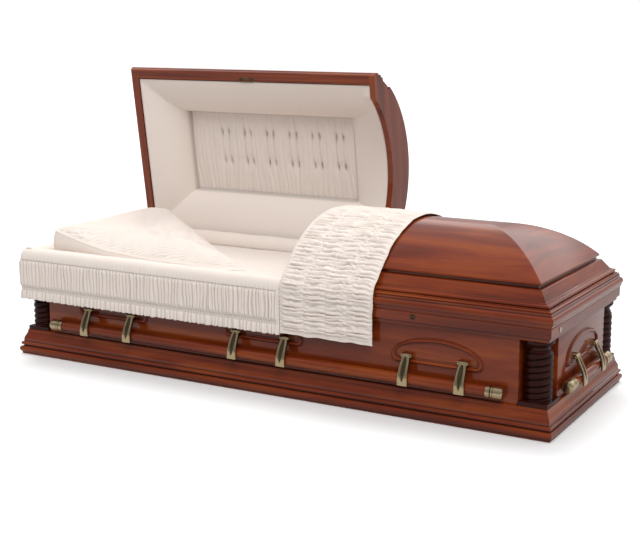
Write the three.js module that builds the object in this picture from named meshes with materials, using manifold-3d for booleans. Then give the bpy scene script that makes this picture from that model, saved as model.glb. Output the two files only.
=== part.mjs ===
// A half-couch wooden casket: moulded base, panelled body with rope-twist corner columns and
// swing-bar handles, and two hinged vaulted lids. The head lid stands open and the foot lid is shut.
// Millimetres, +Z up. The origin is the middle of the underside. The head end is at -X, the foot
// end at +X, the front at -Y and the hinged side at +Y.
import * as THREE from "three";
import { mergeVertices } from "three/addons/utils/BufferGeometryUtils.js";
import Module from "manifold-3d";

const wasm = await Module();
wasm.setup();

// Overall size, over the lowest base moulding.
const LENGTH = 2134;
const WIDTH = 750;
const GAP = 0.3; // between pieces that touch

// Heights above the floor.
const BASE_TOP = 93;
const RAIL_BOTTOM = 300;
const SEAM = 345; // top of the body, where the lids close
const VAULT_FOOT = 460; // top of the lid mouldings, where the vault stands
const VAULT_SPRING = 467; // top of the vault's lip
const VAULT_TOP = 594;

// How far each face stands in from the outermost base moulding.
const TORUS_INSET = 9;
const FASCIA_INSET = 17;
const PANEL_INSET = 35;
const RIM_INSET = 52; // inner edge of the wooden rim
const LIP_INSET = 77;

// Wall thicknesses.
const PANEL_THICK = 22;
const VAULT_THICK = 14;
const HEADER_THICK = 22;
const FLOOR_THICK = 18;
const FLOOR_BOTTOM = 12;

// Where the lid is divided, and how far the head lid stands open.
const SPLIT_X = 100;
const SPLIT_GAP = 4;
const OPEN_ANGLE = THREE.MathUtils.degToRad(82);
const HINGE_BACK = 1; // hinge pin in front of the line of the base moulding
const HINGE_DROP = 10; // hinge pin below the seam

// Corner recesses and columns.
const RECESS_ALONG = 124; // recess measured along the long sides
const RECESS_ACROSS = 138; // and along the ends
const COLUMN_INSET = 70;
const COLUMN_RADIUS = 38;
const ROPE_DEPTH = 3.4;
const ROPE_STRANDS = 3;
const ROPE_PITCH = 33;
const PLINTH_HEIGHT = 14;
const PLINTH_INSET = 26;
const COLUMN_SIDES = 12;

// Swing-bar handles.
const ARM_SPACING = 196; // between the two arms on one carved panel
const PAIR_SHARE = 0.611; // outer pairs from the middle, as a share of the half length
const HANDLE_SHIFT = 15; // the long sides' pairs stand this far towards the foot end
const PIVOT_HEIGHT = 203;
const BAR_HEIGHT = 129;
const BAR_RADIUS = 18;
const BAR_SIDES = 12;
const BAR_STANDOFF = 24; // bar axis from the panel's face
const CAP_RADIUS = 21;
const CAP_LENGTH = 58;
const BAR_SHORT = 320; // a bar is this much shorter than its side
const ARM_THICK = 7;
const ARM_TOP_WIDTH = 25;
const ARM_FOOT_WIDTH = 36;
const PIN_RADIUS = 2.6;
const PIN_PLAY = 0.6;
const BARREL_RADIUS = 7.5;
const BARREL_STANDOFF = 15; // pin axis from the panel's face
const EAR_THICK = 4;

// Carved panels behind the handles.
const CARVED_HALF_WIDTH = 160;
const CARVED_FOOT = 175;
const CARVED_SHOULDER = 197;
const CARVED_TOP = 266;
const CARVED_CORNER = 20;
const CARVED_ARC = 9; // facets in its arched top

// Soft furnishings.
const BED_TOP = 374;
const BED_EDGE = 332; // top of its upright edge
const BED_MARGIN = 84; // in from the outermost moulding
const BED_BEVEL = 62;
const ROLL_TOP = 402;
const SKIRT_HEM = 216;
const SKIRT_STANDOFF = 5; // cloth clear of the wood
const SKIRT_THICK = 8;
const THROW_WIDTH = 352;
const THROW_THICK = 6;
const LINING_THICK = 12;
const LINING_LOW = 350; // lid lining where it meets the rim
const PANEL_HEIGHT = 474; // and its flat middle panel
const PANEL_MARGIN = 150; // the panel's edge in from the wooden rim

const halfLength = LENGTH / 2;
const halfWidth = WIDTH / 2;
const root = new THREE.Group();
const headLid = new THREE.Group();
const pinY = halfWidth - HINGE_BACK;
const pinZ = SEAM - HINGE_DROP;
headLid.position.set(0, pinY, pinZ);
headLid.rotation.x = -OPEN_ANGLE;
const headLidPieces = new THREE.Group(); // drawn shut, carried open by its parent
headLidPieces.position.set(0, -pinY, -pinZ);
headLid.add(headLidPieces);
root.add(headLid);

const cherry = { color: 0x6e2f1e, roughness: 0.28, metalness: 0 };
const darkCherry = { color: 0x3a1710, roughness: 0.3, metalness: 0 };
const bronze = { color: 0x9a8a6c, roughness: 0.32, metalness: 1 };
const steel = { color: 0x8a8a88, roughness: 0.4, metalness: 1 };
const crepe = { color: 0xe7ddd2, roughness: 0.85, metalness: 0 };
const board = { color: 0x8a5a3c, roughness: 0.7, metalness: 0 };

function add(parent, name, geometry, finish) {
  const mesh = new THREE.Mesh(geometry, new THREE.MeshStandardMaterial(finish));
  mesh.name = name;
  parent.add(mesh);
  return mesh;
}

// A closed geometry as a manifold solid, and back again.
function solid(geometry) {
  const bare = geometry.clone();
  bare.deleteAttribute("normal");
  bare.deleteAttribute("uv");
  const merged = mergeVertices(bare, 1e-3);
  const mesh = new wasm.Mesh({
    numProp: 3,
    vertProperties: merged.attributes.position.array,
    triVerts: new Uint32Array(merged.index.array),
  });
  return new wasm.Manifold(mesh);
}

function surface(body) {
  const mesh = body.getMesh();
  const geometry = new THREE.BufferGeometry();
  geometry.setAttribute("position", new THREE.BufferAttribute(mesh.vertProperties, 3));
  geometry.setIndex(new THREE.BufferAttribute(mesh.triVerts, 1));
  return geometry;
}

function joined(geometries) {
  const total = geometries.map(solid).reduce((a, b) => a.add(b));
  return surface(total);
}

// A closed surface from points and triangles, turned so that its faces look outwards.
function closed(points, index) {
  let volume = 0;
  const corner = (k) => new THREE.Vector3().fromArray(points, 3 * k);
  for (let i = 0; i < index.length; i += 3) {
    const [a, b, c] = [corner(index[i]), corner(index[i + 1]), corner(index[i + 2])];
    volume += a.dot(b.cross(c));
  }
  const geometry = new THREE.BufferGeometry();
  geometry.setAttribute("position", new THREE.Float32BufferAttribute(points, 3));
  geometry.setIndex(volume < 0 ? index.reverse() : index);
  return geometry;
}

// A lattice of points, rows[i][j]. Each row is a closed ring; the two end rings are capped flat.
function loft(rows) {
  const sides = rows[0].length;
  const points = rows.flat().flat();
  const index = [];
  for (let i = 0; i + 1 < rows.length; i++) {
    for (let j = 0; j < sides; j++) {
      const a = i * sides + j;
      const b = i * sides + ((j + 1) % sides);
      index.push(a, b, b + sides, a, b + sides, a + sides);
    }
  }
  const last = (rows.length - 1) * sides;
  for (const [a, b, c] of capTriangles(rows[0])) index.push(c, b, a);
  for (const [a, b, c] of capTriangles(rows[rows.length - 1])) {
    index.push(last + a, last + b, last + c);
  }
  return closed(points, index);
}

// Triangles that fill a flat ring, wound the way the ring runs.
function capTriangles(ring) {
  const points = ring.map((p) => new THREE.Vector3(...p));
  const normal = new THREE.Vector3();
  points.forEach((p, i) => {
    const q = points[(i + 1) % points.length];
    normal.x += (p.y - q.y) * (p.z + q.z);
    normal.y += (p.z - q.z) * (p.x + q.x);
    normal.z += (p.x - q.x) * (p.y + q.y);
  });
  normal.normalize();
  const level = new THREE.Quaternion().setFromUnitVectors(normal, new THREE.Vector3(0, 0, 1));
  const flat = points.map((p) => {
    const q = p.clone().applyQuaternion(level);
    return new THREE.Vector2(q.x, q.y);
  });
  return THREE.ShapeUtils.triangulateShape(flat, []);
}

// A flat section of [y, z] points, anticlockwise, carried along X. Each end is a number or a
// function of the point's y that gives its x, so that ends can be mitred.
function alongX(section, start, end) {
  const at = (side, y) => (typeof side === "function" ? side(y) : side);
  const row = (side) => section.map(([y, z]) => [at(side, y), y, z]);
  return loft([row(start), row(end)]);
}

function box(x0, x1, y0, y1, z0, z1) {
  const geometry = new THREE.BoxGeometry(x1 - x0, y1 - y0, z1 - z0);
  return geometry.translate((x0 + x1) / 2, (y0 + y1) / 2, (z0 + z1) / 2);
}

function arc(cx, cy, radius, from, to, steps) {
  return Array.from({ length: steps + 1 }, (_, i) => {
    const angle = THREE.MathUtils.degToRad(from + ((to - from) * i) / steps);
    return [cx + radius * Math.cos(angle), cy + radius * Math.sin(angle)];
  });
}

// The four sides of a mitred frame. A section's points are [inset, z]; run is half the side's
// length and reach half the frame's width across it, both over the base moulding.
const SIDES = {
  front: { turn: 0, run: halfLength, reach: halfWidth },
  foot: { turn: 90, run: halfWidth, reach: halfLength },
  rear: { turn: 180, run: halfLength, reach: halfWidth },
  head: { turn: 270, run: halfWidth, reach: halfLength },
};

// One side of the frame; from and to cut it square across instead of mitring it.
function frameSide(section, side, from, to) {
  const { turn, run, reach } = SIDES[side];
  const mitre = (sign) => (y) => sign * (run - (reach + y) - GAP * 0.75);
  const points = section.map(([inset, z]) => [inset - reach, z]);
  const geometry = alongX(points, from ?? mitre(-1), to ?? mitre(1));
  return geometry.rotateZ(THREE.MathUtils.degToRad(turn));
}

// Base moulding, from the floor up: torus, bead, fillet and ogee, with a ledge for the floor board.
const LEDGE_INSET = 72;
const BASE_INNER = PANEL_INSET + PANEL_THICK + 1;
const ogee = Array.from({ length: 6 }, (_, i) => {
  const t = i / 5;
  return [13 + 10 * t * t * (3 - 2 * t), 56 + (BASE_TOP - 6 - 56) * t];
});
const baseSection = [
  [LEDGE_INSET, FLOOR_BOTTOM - GAP],
  [LEDGE_INSET, 0],
  [6, 0],
  [1.5, 8],
  [0, 19],
  [3, 27],
  [10, 31],
  [10, 34],
  ...arc(10.5, 40, 6, -100, -260, 4),
  [13, 48],
  ...ogee,
  [24, BASE_TOP],
  [BASE_INNER, BASE_TOP],
  [BASE_INNER, FLOOR_BOTTOM - GAP],
].reverse();

for (const side of Object.keys(SIDES)) {
  add(root, "base_moulding_" + side, frameSide(baseSection, side), cherry);
}

// The floor board, with bearers across its underside that stand on the ground.
const BEARER_SPACING = 700;
const BEARER_HALF = 40;
function floorBoard() {
  const inset = BASE_INNER + GAP;
  const [x, y] = [halfLength - inset, halfWidth - inset];
  const reach = halfWidth - LEDGE_INSET - GAP;
  const bearers = [-BEARER_SPACING, 0, BEARER_SPACING].map((middle) =>
    box(middle - BEARER_HALF, middle + BEARER_HALF, -reach, reach, 0, FLOOR_BOTTOM + 2),
  );
  return joined([box(-x, x, -y, y, FLOOR_BOTTOM, FLOOR_BOTTOM + FLOOR_THICK), ...bearers]);
}
add(root, "floor_board", floorBoard(), board);

// Top rail: a fascia over a thin step, closing the body all round.
const railSection = [
  [RIM_INSET, SEAM],
  [RIM_INSET, RAIL_BOTTOM],
  [27, RAIL_BOTTOM],
  [25, 303],
  [25, 311],
  [FASCIA_INSET, 314],
  [FASCIA_INSET, SEAM - 2],
  [FASCIA_INSET + 2, SEAM],
].reverse();

for (const side of Object.keys(SIDES)) {
  add(root, "top_rail_" + side, frameSide(railSection, side), cherry);
}

// The carved panel behind a pair of arms: a half ellipse on a low straight foot with round
// corners, drawn in by inset all round. Points are [along, height].
function carvedOutline(inset) {
  const corner = CARVED_CORNER - inset * 0.4;
  const half = CARVED_HALF_WIDTH - inset;
  const foot = CARVED_FOOT + inset;
  const shoulder = Math.max(CARVED_SHOULDER, foot + corner);
  const rise = CARVED_TOP - inset - shoulder;
  const top = Array.from({ length: CARVED_ARC + 1 }, (_, i) => {
    const angle = (Math.PI * i) / CARVED_ARC;
    return [half * Math.cos(angle), shoulder + rise * Math.sin(angle)];
  });
  const left = arc(corner - half, foot + corner, corner, 205, 270, 1);
  const right = arc(half - corner, foot + corner, corner, 270, 335, 1);
  return [...top, ...left, ...right];
}

// Its steps: how far in from the outline, and how far out from the panel's face.
const CARVED_STEPS = [
  [0, -2],
  [0, 4],
  [6, 6],
  [15, 6],
  [19, 3],
];

function carvedPanel(along, face) {
  const rows = CARVED_STEPS.map(([inset, out]) =>
    carvedOutline(inset).map(([x, z]) => [along + x, face - out, z]),
  );
  return loft(rows);
}

// The fixed ears and pin that carry one arm.
function armMount(along, face) {
  const pin = face - BARREL_STANDOFF;
  const inner = ARM_TOP_WIDTH / 2 + PIN_PLAY;
  const ear = (x) => {
    const outline = [
      [face + 2, PIVOT_HEIGHT - BARREL_RADIUS],
      [face + 2, PIVOT_HEIGHT + BARREL_RADIUS],
      ...arc(pin, PIVOT_HEIGHT, BARREL_RADIUS, 90, 270, 3),
    ];
    return alongX(outline, x, x + EAR_THICK);
  };
  const round = arc(pin, PIVOT_HEIGHT, PIN_RADIUS, 0, 300, 5);
  const reach = inner + EAR_THICK / 2;
  const rod = alongX(round, along - reach, along + reach);
  return [ear(along - inner - EAR_THICK), ear(along + inner), rod];
}

const pairOffset = PAIR_SHARE * halfLength;
const longPairs = (shift) => [shift - pairOffset, shift, shift + pairOffset];
const HANDLES = {
  front: { pairs: longPairs(HANDLE_SHIFT), bar: LENGTH - BAR_SHORT },
  rear: { pairs: longPairs(-HANDLE_SHIFT), bar: LENGTH - BAR_SHORT },
  head: { pairs: [0], bar: WIDTH - BAR_SHORT },
  foot: { pairs: [0], bar: WIDTH - BAR_SHORT },
};

// A body panel with its returns round the corner recesses and the carved panels on its face.
function bodyPanel(side) {
  const { turn, run, reach } = SIDES[side];
  const long = side === "front" || side === "rear";
  const face = PANEL_INSET - reach;
  const back = face + PANEL_THICK;
  const low = BASE_TOP + GAP;
  const high = RAIL_BOTTOM - GAP;
  const end = run - (long ? RECESS_ALONG : RECESS_ACROSS);
  const depth = (long ? RECESS_ACROSS : RECESS_ALONG) - reach;
  const pieces = [box(-end, end, face, back, low, high)];
  for (const sign of [-1, 1]) {
    const inner = sign * (end - PANEL_THICK);
    const [x0, x1] = [Math.min(inner, sign * end), Math.max(inner, sign * end)];
    const stop = long ? depth - GAP : depth + PANEL_THICK;
    pieces.push(box(x0, x1, face, stop, low, high));
  }
  for (const middle of HANDLES[side].pairs) {
    pieces.push(carvedPanel(middle, face));
    for (const x of [middle - ARM_SPACING / 2, middle + ARM_SPACING / 2]) {
      pieces.push(...armMount(x, face));
    }
  }
  return joined(pieces).rotateZ(THREE.MathUtils.degToRad(turn));
}

for (const side of Object.keys(SIDES)) {
  add(root, "body_panel_" + side, bodyPanel(side), cherry);
}

// A rope-twist column: rings whose radius swells and pinches as the strands climb, on a square
// plinth, with a necking and a flared cap under the rail.
function cornerColumn(signX, signY) {
  const foot = BASE_TOP + PLINTH_HEIGHT;
  const ropeFrom = foot + 3;
  const ropeTo = RAIL_BOTTOM - 36;
  const lead = ROPE_STRANDS * ROPE_PITCH;
  const rings = Math.round((4 * (ropeTo - ropeFrom)) / ROPE_PITCH);
  const ring = (z, radius, swell) =>
    Array.from({ length: COLUMN_SIDES }, (_, j) => {
      const angle = (2 * Math.PI * j) / COLUMN_SIDES;
      const phase = ROPE_STRANDS * (angle - (2 * Math.PI * z) / lead);
      const r = radius + swell * ROPE_DEPTH * Math.cos(phase);
      return [r * Math.cos(angle), r * Math.sin(angle), z];
    });
  const rows = [ring(foot - 1, COLUMN_RADIUS, 0), ring(ropeFrom, COLUMN_RADIUS, 0)];
  for (let i = 0; i <= rings; i++) {
    const z = ropeFrom + 1 + ((ropeTo - ropeFrom - 2) * i) / rings;
    const fade = Math.min(1, i / 2, (rings - i) / 2);
    rows.push(ring(z, COLUMN_RADIUS, fade));
  }
  rows.push(ring(ropeTo + 4, COLUMN_RADIUS - 6, 0));
  rows.push(ring(RAIL_BOTTOM - 20, COLUMN_RADIUS - 3, 0));
  rows.push(ring(RAIL_BOTTOM - 9, COLUMN_RADIUS + 4, 0));
  rows.push(ring(RAIL_BOTTOM - GAP, COLUMN_RADIUS + 5, 0));
  const x = signX * (halfLength - COLUMN_INSET);
  const y = signY * (halfWidth - COLUMN_INSET);
  const shaft = loft(rows).translate(x, y, 0);
  const outX = signX * (halfLength - PLINTH_INSET);
  const outY = signY * (halfWidth - PLINTH_INSET);
  const inX = signX * (halfLength - RECESS_ALONG + GAP);
  const inY = signY * (halfWidth - RECESS_ACROSS + GAP);
  const plinth = box(
    Math.min(outX, inX),
    Math.max(outX, inX),
    Math.min(outY, inY),
    Math.max(outY, inY),
    BASE_TOP + GAP,
    foot,
  );
  return joined([shaft, plinth]);
}

const CORNERS = {
  front_head: [-1, -1],
  front_foot: [1, -1],
  rear_head: [-1, 1],
  rear_foot: [1, 1],
};
for (const [corner, [signX, signY]] of Object.entries(CORNERS)) {
  add(root, "corner_column_" + corner, cornerColumn(signX, signY), darkCherry);
}

// One arm: it hangs from its pin, bows out round the bar and tapers from a broad foot to a narrow
// top, with a pointed leaf sunk into its face.
const armLength = PIVOT_HEIGHT - BAR_HEIGHT;
function armGeometry(along, face) {
  const outside = BAR_STANDOFF + BAR_RADIUS + 4 * GAP;
  const stations = [
    { out: BARREL_STANDOFF - 3, z: PIVOT_HEIGHT - 1, leaf: 0 },
    { out: BARREL_STANDOFF + 6, z: PIVOT_HEIGHT - 0.25 * armLength, leaf: 0.35 },
    { out: outside - 3, z: PIVOT_HEIGHT - 0.5 * armLength, leaf: 1 },
    { out: outside, z: BAR_HEIGHT - 4, leaf: 0.5 },
    { out: outside - 2, z: BAR_HEIGHT - BAR_RADIUS + 1, leaf: 0 },
  ];
  const rows = stations.map(({ out, z, leaf }, i) => {
    const share = (PIVOT_HEIGHT - z) / (armLength + BAR_RADIUS);
    const half = (ARM_TOP_WIDTH + (ARM_FOOT_WIDTH - ARM_TOP_WIDTH) * share) / 2;
    const before = stations[Math.max(0, i - 1)];
    const after = stations[Math.min(stations.length - 1, i + 1)];
    const run = new THREE.Vector2(after.out - before.out, after.z - before.z).normalize();
    const front = [out - run.y * ARM_THICK, z + run.x * ARM_THICK];
    const sunk = [out - run.y * (ARM_THICK - 3 * leaf), z + run.x * (ARM_THICK - 3 * leaf)];
    return [
      [along - half, face - out, z],
      [along - half, face - front[0], front[1]],
      [along, face - sunk[0], sunk[1]],
      [along + half, face - front[0], front[1]],
      [along + half, face - out, z],
    ];
  });
  const pin = face - BARREL_STANDOFF;
  const half = ARM_TOP_WIDTH / 2;
  const barrel = alongX(arc(pin, PIVOT_HEIGHT, BARREL_RADIUS, 0, 315, 7), along - half, along + half);
  const bore = alongX(
    arc(pin, PIVOT_HEIGHT, PIN_RADIUS + PIN_PLAY, 0, 300, 5),
    along - half - 1,
    along + half + 1,
  );
  return surface(solid(loft(rows)).add(solid(barrel)).subtract(solid(bore)));
}

// The bar with its turned end caps, about the line of its axis.
function barGeometry(length, face) {
  const half = length / 2;
  const y = face - BAR_STANDOFF;
  const profile = [
    [half, CAP_RADIUS - 7],
    [half - 5, CAP_RADIUS - 1],
    [half - CAP_LENGTH, CAP_RADIUS],
    [half - CAP_LENGTH, BAR_RADIUS],
  ];
  const mirrored = profile.map(([x, r]) => [-x, r]);
  const rows = [...mirrored, ...profile.reverse()].map(([x, radius]) =>
    Array.from({ length: BAR_SIDES }, (_, i) => {
      const angle = (2 * Math.PI * (i + 0.5)) / BAR_SIDES;
      return [x, y + radius * Math.cos(angle), BAR_HEIGHT + radius * Math.sin(angle)];
    }),
  );
  return loft(rows);
}

for (const [side, { pairs, bar }] of Object.entries(HANDLES)) {
  const { turn, reach } = SIDES[side];
  const face = PANEL_INSET - reach;
  const turned = THREE.MathUtils.degToRad(turn);
  add(root, "handle_bar_" + side, barGeometry(bar, face).rotateZ(turned), cherry);
  let count = 0;
  for (const middle of pairs) {
    for (const x of [middle - ARM_SPACING / 2, middle + ARM_SPACING / 2]) {
      count += 1;
      const name = "handle_arm_" + side + "_" + count;
      add(root, name, armGeometry(x, face).rotateZ(turned), bronze);
    }
  }
}

// Small fittings on the fascia: the keyhole on the front and a plug on the foot end.
const FITTING_HEIGHT = 331;
const KEYHOLE_X = 590;
const PLUG_Y = -279;
function disc(radius, thick, bore) {
  const round = (r) => arc(0, 0, r, 0, 330, 11);
  const plate = alongX(round(radius), 0, thick);
  if (!bore) return plate;
  return surface(solid(plate).subtract(solid(alongX(round(bore), 1.2, thick + 1))));
}
add(
  root,
  "keyhole_escutcheon",
  disc(9, 2.4, 4.5)
    .rotateZ(-Math.PI / 2)
    .translate(KEYHOLE_X, FASCIA_INSET - halfWidth - GAP, FITTING_HEIGHT),
  bronze,
);
add(
  root,
  "end_plug",
  disc(9, 2, 0).translate(halfLength - FASCIA_INSET + GAP, PLUG_Y, FITTING_HEIGHT - 2),
  steel,
);

// Lid mouldings, from the seam up: torus, thin bead, bead, sloped facing and the shadow recess
// under the vault's lip.
const RECESS_INSET = 86;
const MOULDING_WALL = 18;
const SPLINE_INSET = 38;
const mouldingOuter = [
  [FASCIA_INSET, SEAM + GAP],
  [12, SEAM + 5],
  [TORUS_INSET, SEAM + 13],
  [TORUS_INSET, SEAM + 31],
  [12, SEAM + 40],
  [19, SEAM + 45],
  [21, SEAM + 47],
  [20, SEAM + 50],
  [23, SEAM + 53],
  [28, SEAM + 54],
  [28, SEAM + 57],
  [31, SEAM + 63],
  [36, SEAM + 67],
  [44, SEAM + 68],
  [48, SEAM + 71],
  [72, SEAM + 104],
  [RECESS_INSET - 2, SEAM + 105],
  [RECESS_INSET, SEAM + 107],
  [RECESS_INSET, VAULT_FOOT],
];
const mouldingInner = [
  [RECESS_INSET + MOULDING_WALL - 2, VAULT_FOOT],
  [RECESS_INSET + MOULDING_WALL - 2, SEAM + 92],
  [RIM_INSET + 16, SEAM + 54],
  [RIM_INSET, SEAM + 40],
  [RIM_INSET, SEAM + GAP],
];
const mouldingSection = [...mouldingOuter, ...mouldingInner].reverse();

// The two lids share their drawing. near is the x of the lid's outer end as seen from the middle,
// and the header board closes the cut end.
const LIDS = {
  head: { parent: headLidPieces, end: "head", sign: -1, cut: SPLIT_X },
  foot: { parent: root, end: "foot", sign: 1, cut: SPLIT_X + SPLIT_GAP },
};

// The vault's section is one round arc of this radius, about a line at this height.
const vaultHalf = halfWidth - LIP_INSET;
const vaultRise = VAULT_TOP - VAULT_SPRING;
const vaultRadius = (vaultHalf ** 2 + vaultRise ** 2) / (2 * vaultRise);
const vaultCentre = VAULT_TOP - vaultRadius;
const VAULT_STEPS = 5;

// A solid vault, hipped at one end and square at the other. Its long sides and its end rise by
// the same arc, so the hips run at 45 degrees. thin draws it in by a wall's thickness.
function vaultSolid(sign, stop, thin) {
  const radius = vaultRadius - thin;
  const low = thin ? VAULT_FOOT - 40 : VAULT_FOOT + GAP;
  const springZ = thin ? VAULT_FOOT - 20 : VAULT_SPRING;
  const half = Math.sqrt(radius ** 2 - (springZ - vaultCentre) ** 2);
  const steep = Math.asin(half / radius);
  const across = Array.from({ length: VAULT_STEPS + 1 }, (_, i) => {
    return radius * Math.sin(steep * (1 - i / VAULT_STEPS));
  });
  const height = (d) => vaultCentre + Math.sqrt(Math.max(0, radius ** 2 - d ** 2));
  const endX = halfLength - LIP_INSET - vaultHalf; // where the hips meet the crest
  const ys = [...across.map((d) => -d), ...across.slice(0, -1).reverse()];
  const xs = [...across.map((d) => endX + d), stop];
  const level = (i, j) => {
    const alongEnd = i < across.length ? across[i] : 0;
    return Math.min(height(alongEnd), height(Math.abs(ys[j])));
  };
  const points = [];
  const index = [];
  const columns = ys.length;
  const push = (a, b, c) => index.push(a, b, c);
  for (let i = 0; i < xs.length; i++) {
    for (let j = 0; j < columns; j++) points.push(sign * xs[i], ys[j], level(i, j));
  }
  const top = (i, j) => i * columns + j;
  const middle = (columns - 1) / 2;
  for (let i = 0; i + 1 < xs.length; i++) {
    for (let j = 0; j + 1 < columns; j++) {
      const [a, b, c, d] = [top(i, j), top(i + 1, j), top(i + 1, j + 1), top(i, j + 1)];
      if (j < middle) {
        push(a, b, c);
        push(a, c, d);
      } else {
        push(a, b, d);
        push(b, c, d);
      }
    }
  }
  // Skirt down to the flat underside, and the underside itself.
  const rim = [];
  for (let j = 0; j < columns; j++) rim.push(top(0, j));
  for (let i = 1; i < xs.length; i++) rim.push(top(i, columns - 1));
  for (let j = columns - 2; j >= 0; j--) rim.push(top(xs.length - 1, j));
  for (let i = xs.length - 2; i > 0; i--) rim.push(top(i, 0));
  const base = points.length / 3;
  for (const k of rim) points.push(points[3 * k], points[3 * k + 1], low);
  for (let k = 0; k < rim.length; k++) {
    const next = (k + 1) % rim.length;
    push(rim[k], rim[next], base + next);
    push(rim[k], base + next, base + k);
  }
  const centre = points.length / 3;
  points.push((sign * xs[0] + sign * xs[xs.length - 1]) / 2, 0, low);
  for (let k = 0; k < rim.length; k++) {
    push(base + k, base + ((k + 1) % rim.length), centre);
  }
  return closed(points, index);
}

// The header board: the lid's whole section with an arched way cut in it for the lining.
const ARCH_HALF = 275;
const ARCH_TOP = 453;
const ARCH_FACETS = 10;
const archRise = ARCH_TOP - SEAM;
const archRadius = (ARCH_HALF ** 2 + archRise ** 2) / (2 * archRise);
function archHeight(y) {
  const drop = Math.sqrt(Math.max(0, archRadius ** 2 - y ** 2));
  return Math.max(SEAM + GAP, ARCH_TOP - archRadius + drop);
}

function headerSection() {
  const left = [...mouldingOuter, [LIP_INSET + 1, VAULT_FOOT + 1], [LIP_INSET, VAULT_SPRING]];
  const side = left.map(([inset, z]) => [inset - halfWidth, z]);
  const crown = [];
  const steep = Math.asin(vaultHalf / vaultRadius);
  for (let i = 1; i < 2 * VAULT_STEPS; i++) {
    const angle = steep * (1 - i / VAULT_STEPS);
    crown.push([-vaultRadius * Math.sin(angle), vaultCentre + vaultRadius * Math.cos(angle)]);
  }
  const arch = Array.from({ length: ARCH_FACETS + 1 }, (_, i) => {
    const y = ARCH_HALF * Math.sin((Math.PI / 2) * (1 - (2 * i) / ARCH_FACETS));
    return [y, archHeight(y)];
  });
  const other = side.map(([y, z]) => [-y, z]).reverse();
  return [...side, ...crown, ...other, ...arch].reverse();
}

const CATCH_X = -476;
const CATCH_INSET = 37;
const CATCH_Y = CATCH_INSET - halfWidth;
const CATCH_LENGTH = 76;
const CATCH_WIDTH = 21;
const CATCH_THICK = 3;

// A flat plate with round ends, lying in X and Y, from z upwards.
function stadium(x, y, length, width, z, thick) {
  const radius = width / 2;
  const reach = length / 2 - radius;
  const ends = [...arc(reach, 0, radius, -90, 90, 4), ...arc(-reach, 0, radius, 90, 270, 4)];
  const row = (level) => ends.map(([px, py]) => [x + px, y + py, level]);
  return loft([row(z), row(z + thick)]);
}

for (const [lid, { parent, end, sign, cut }] of Object.entries(LIDS)) {
  const inside = cut + sign * (HEADER_THICK + GAP);
  const lengths = [frameSide(mouldingSection, end)];
  // The rear side is drawn turned half round, so its run is mirrored.
  const sides = { front: inside, rear: -inside };
  for (const [side, at] of Object.entries(sides)) {
    const outerIsLow = (sign < 0) === (side === "front");
    lengths.push(
      outerIsLow
        ? frameSide(mouldingSection, side, undefined, at)
        : frameSide(mouldingSection, side, at, undefined),
    );
  }
  const corner = [];
  for (const signY of [-1, 1]) {
    // A spline in each mitre joins the three lengths into one frame.
    const x = sign * (halfLength - SPLINE_INSET);
    const y = signY * (halfWidth - SPLINE_INSET);
    corner.push(box(x - 8, x + 8, y - 8, y + 8, SEAM + 8, SEAM + 34));
  }
  let frame = [...lengths, ...corner].map(solid).reduce((a, b) => a.add(b));
  if (lid === "head") {
    const pocket = stadium(
      CATCH_X,
      CATCH_Y,
      CATCH_LENGTH + 2 * GAP,
      CATCH_WIDTH + 2 * GAP,
      SEAM - 1,
      1 + CATCH_THICK + 2 * GAP,
    );
    frame = frame.subtract(solid(pocket));
  }
  add(parent, lid + "_lid_moulding", surface(frame), cherry);

  const outer = solid(vaultSolid(sign, sign * inside, 0));
  const inner = solid(vaultSolid(sign, sign * inside - 60, VAULT_THICK));
  add(parent, lid + "_lid_vault", surface(outer.subtract(inner)), cherry);

  const header = alongX(
    headerSection(),
    Math.min(cut, cut + sign * HEADER_THICK),
    Math.max(cut, cut + sign * HEADER_THICK),
  );
  add(parent, lid + "_lid_header", header, cherry);
}

const catchPlate = stadium(CATCH_X, CATCH_Y, CATCH_LENGTH, CATCH_WIDTH, SEAM + GAP, CATCH_THICK);
const catchSlot = box(CATCH_X - 22, CATCH_X + 22, CATCH_Y - 4, CATCH_Y + 4, SEAM - 1, SEAM + 2);
add(
  headLidPieces,
  "lock_catch",
  surface(solid(catchPlate).subtract(solid(catchSlot))),
  bronze,
);

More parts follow.
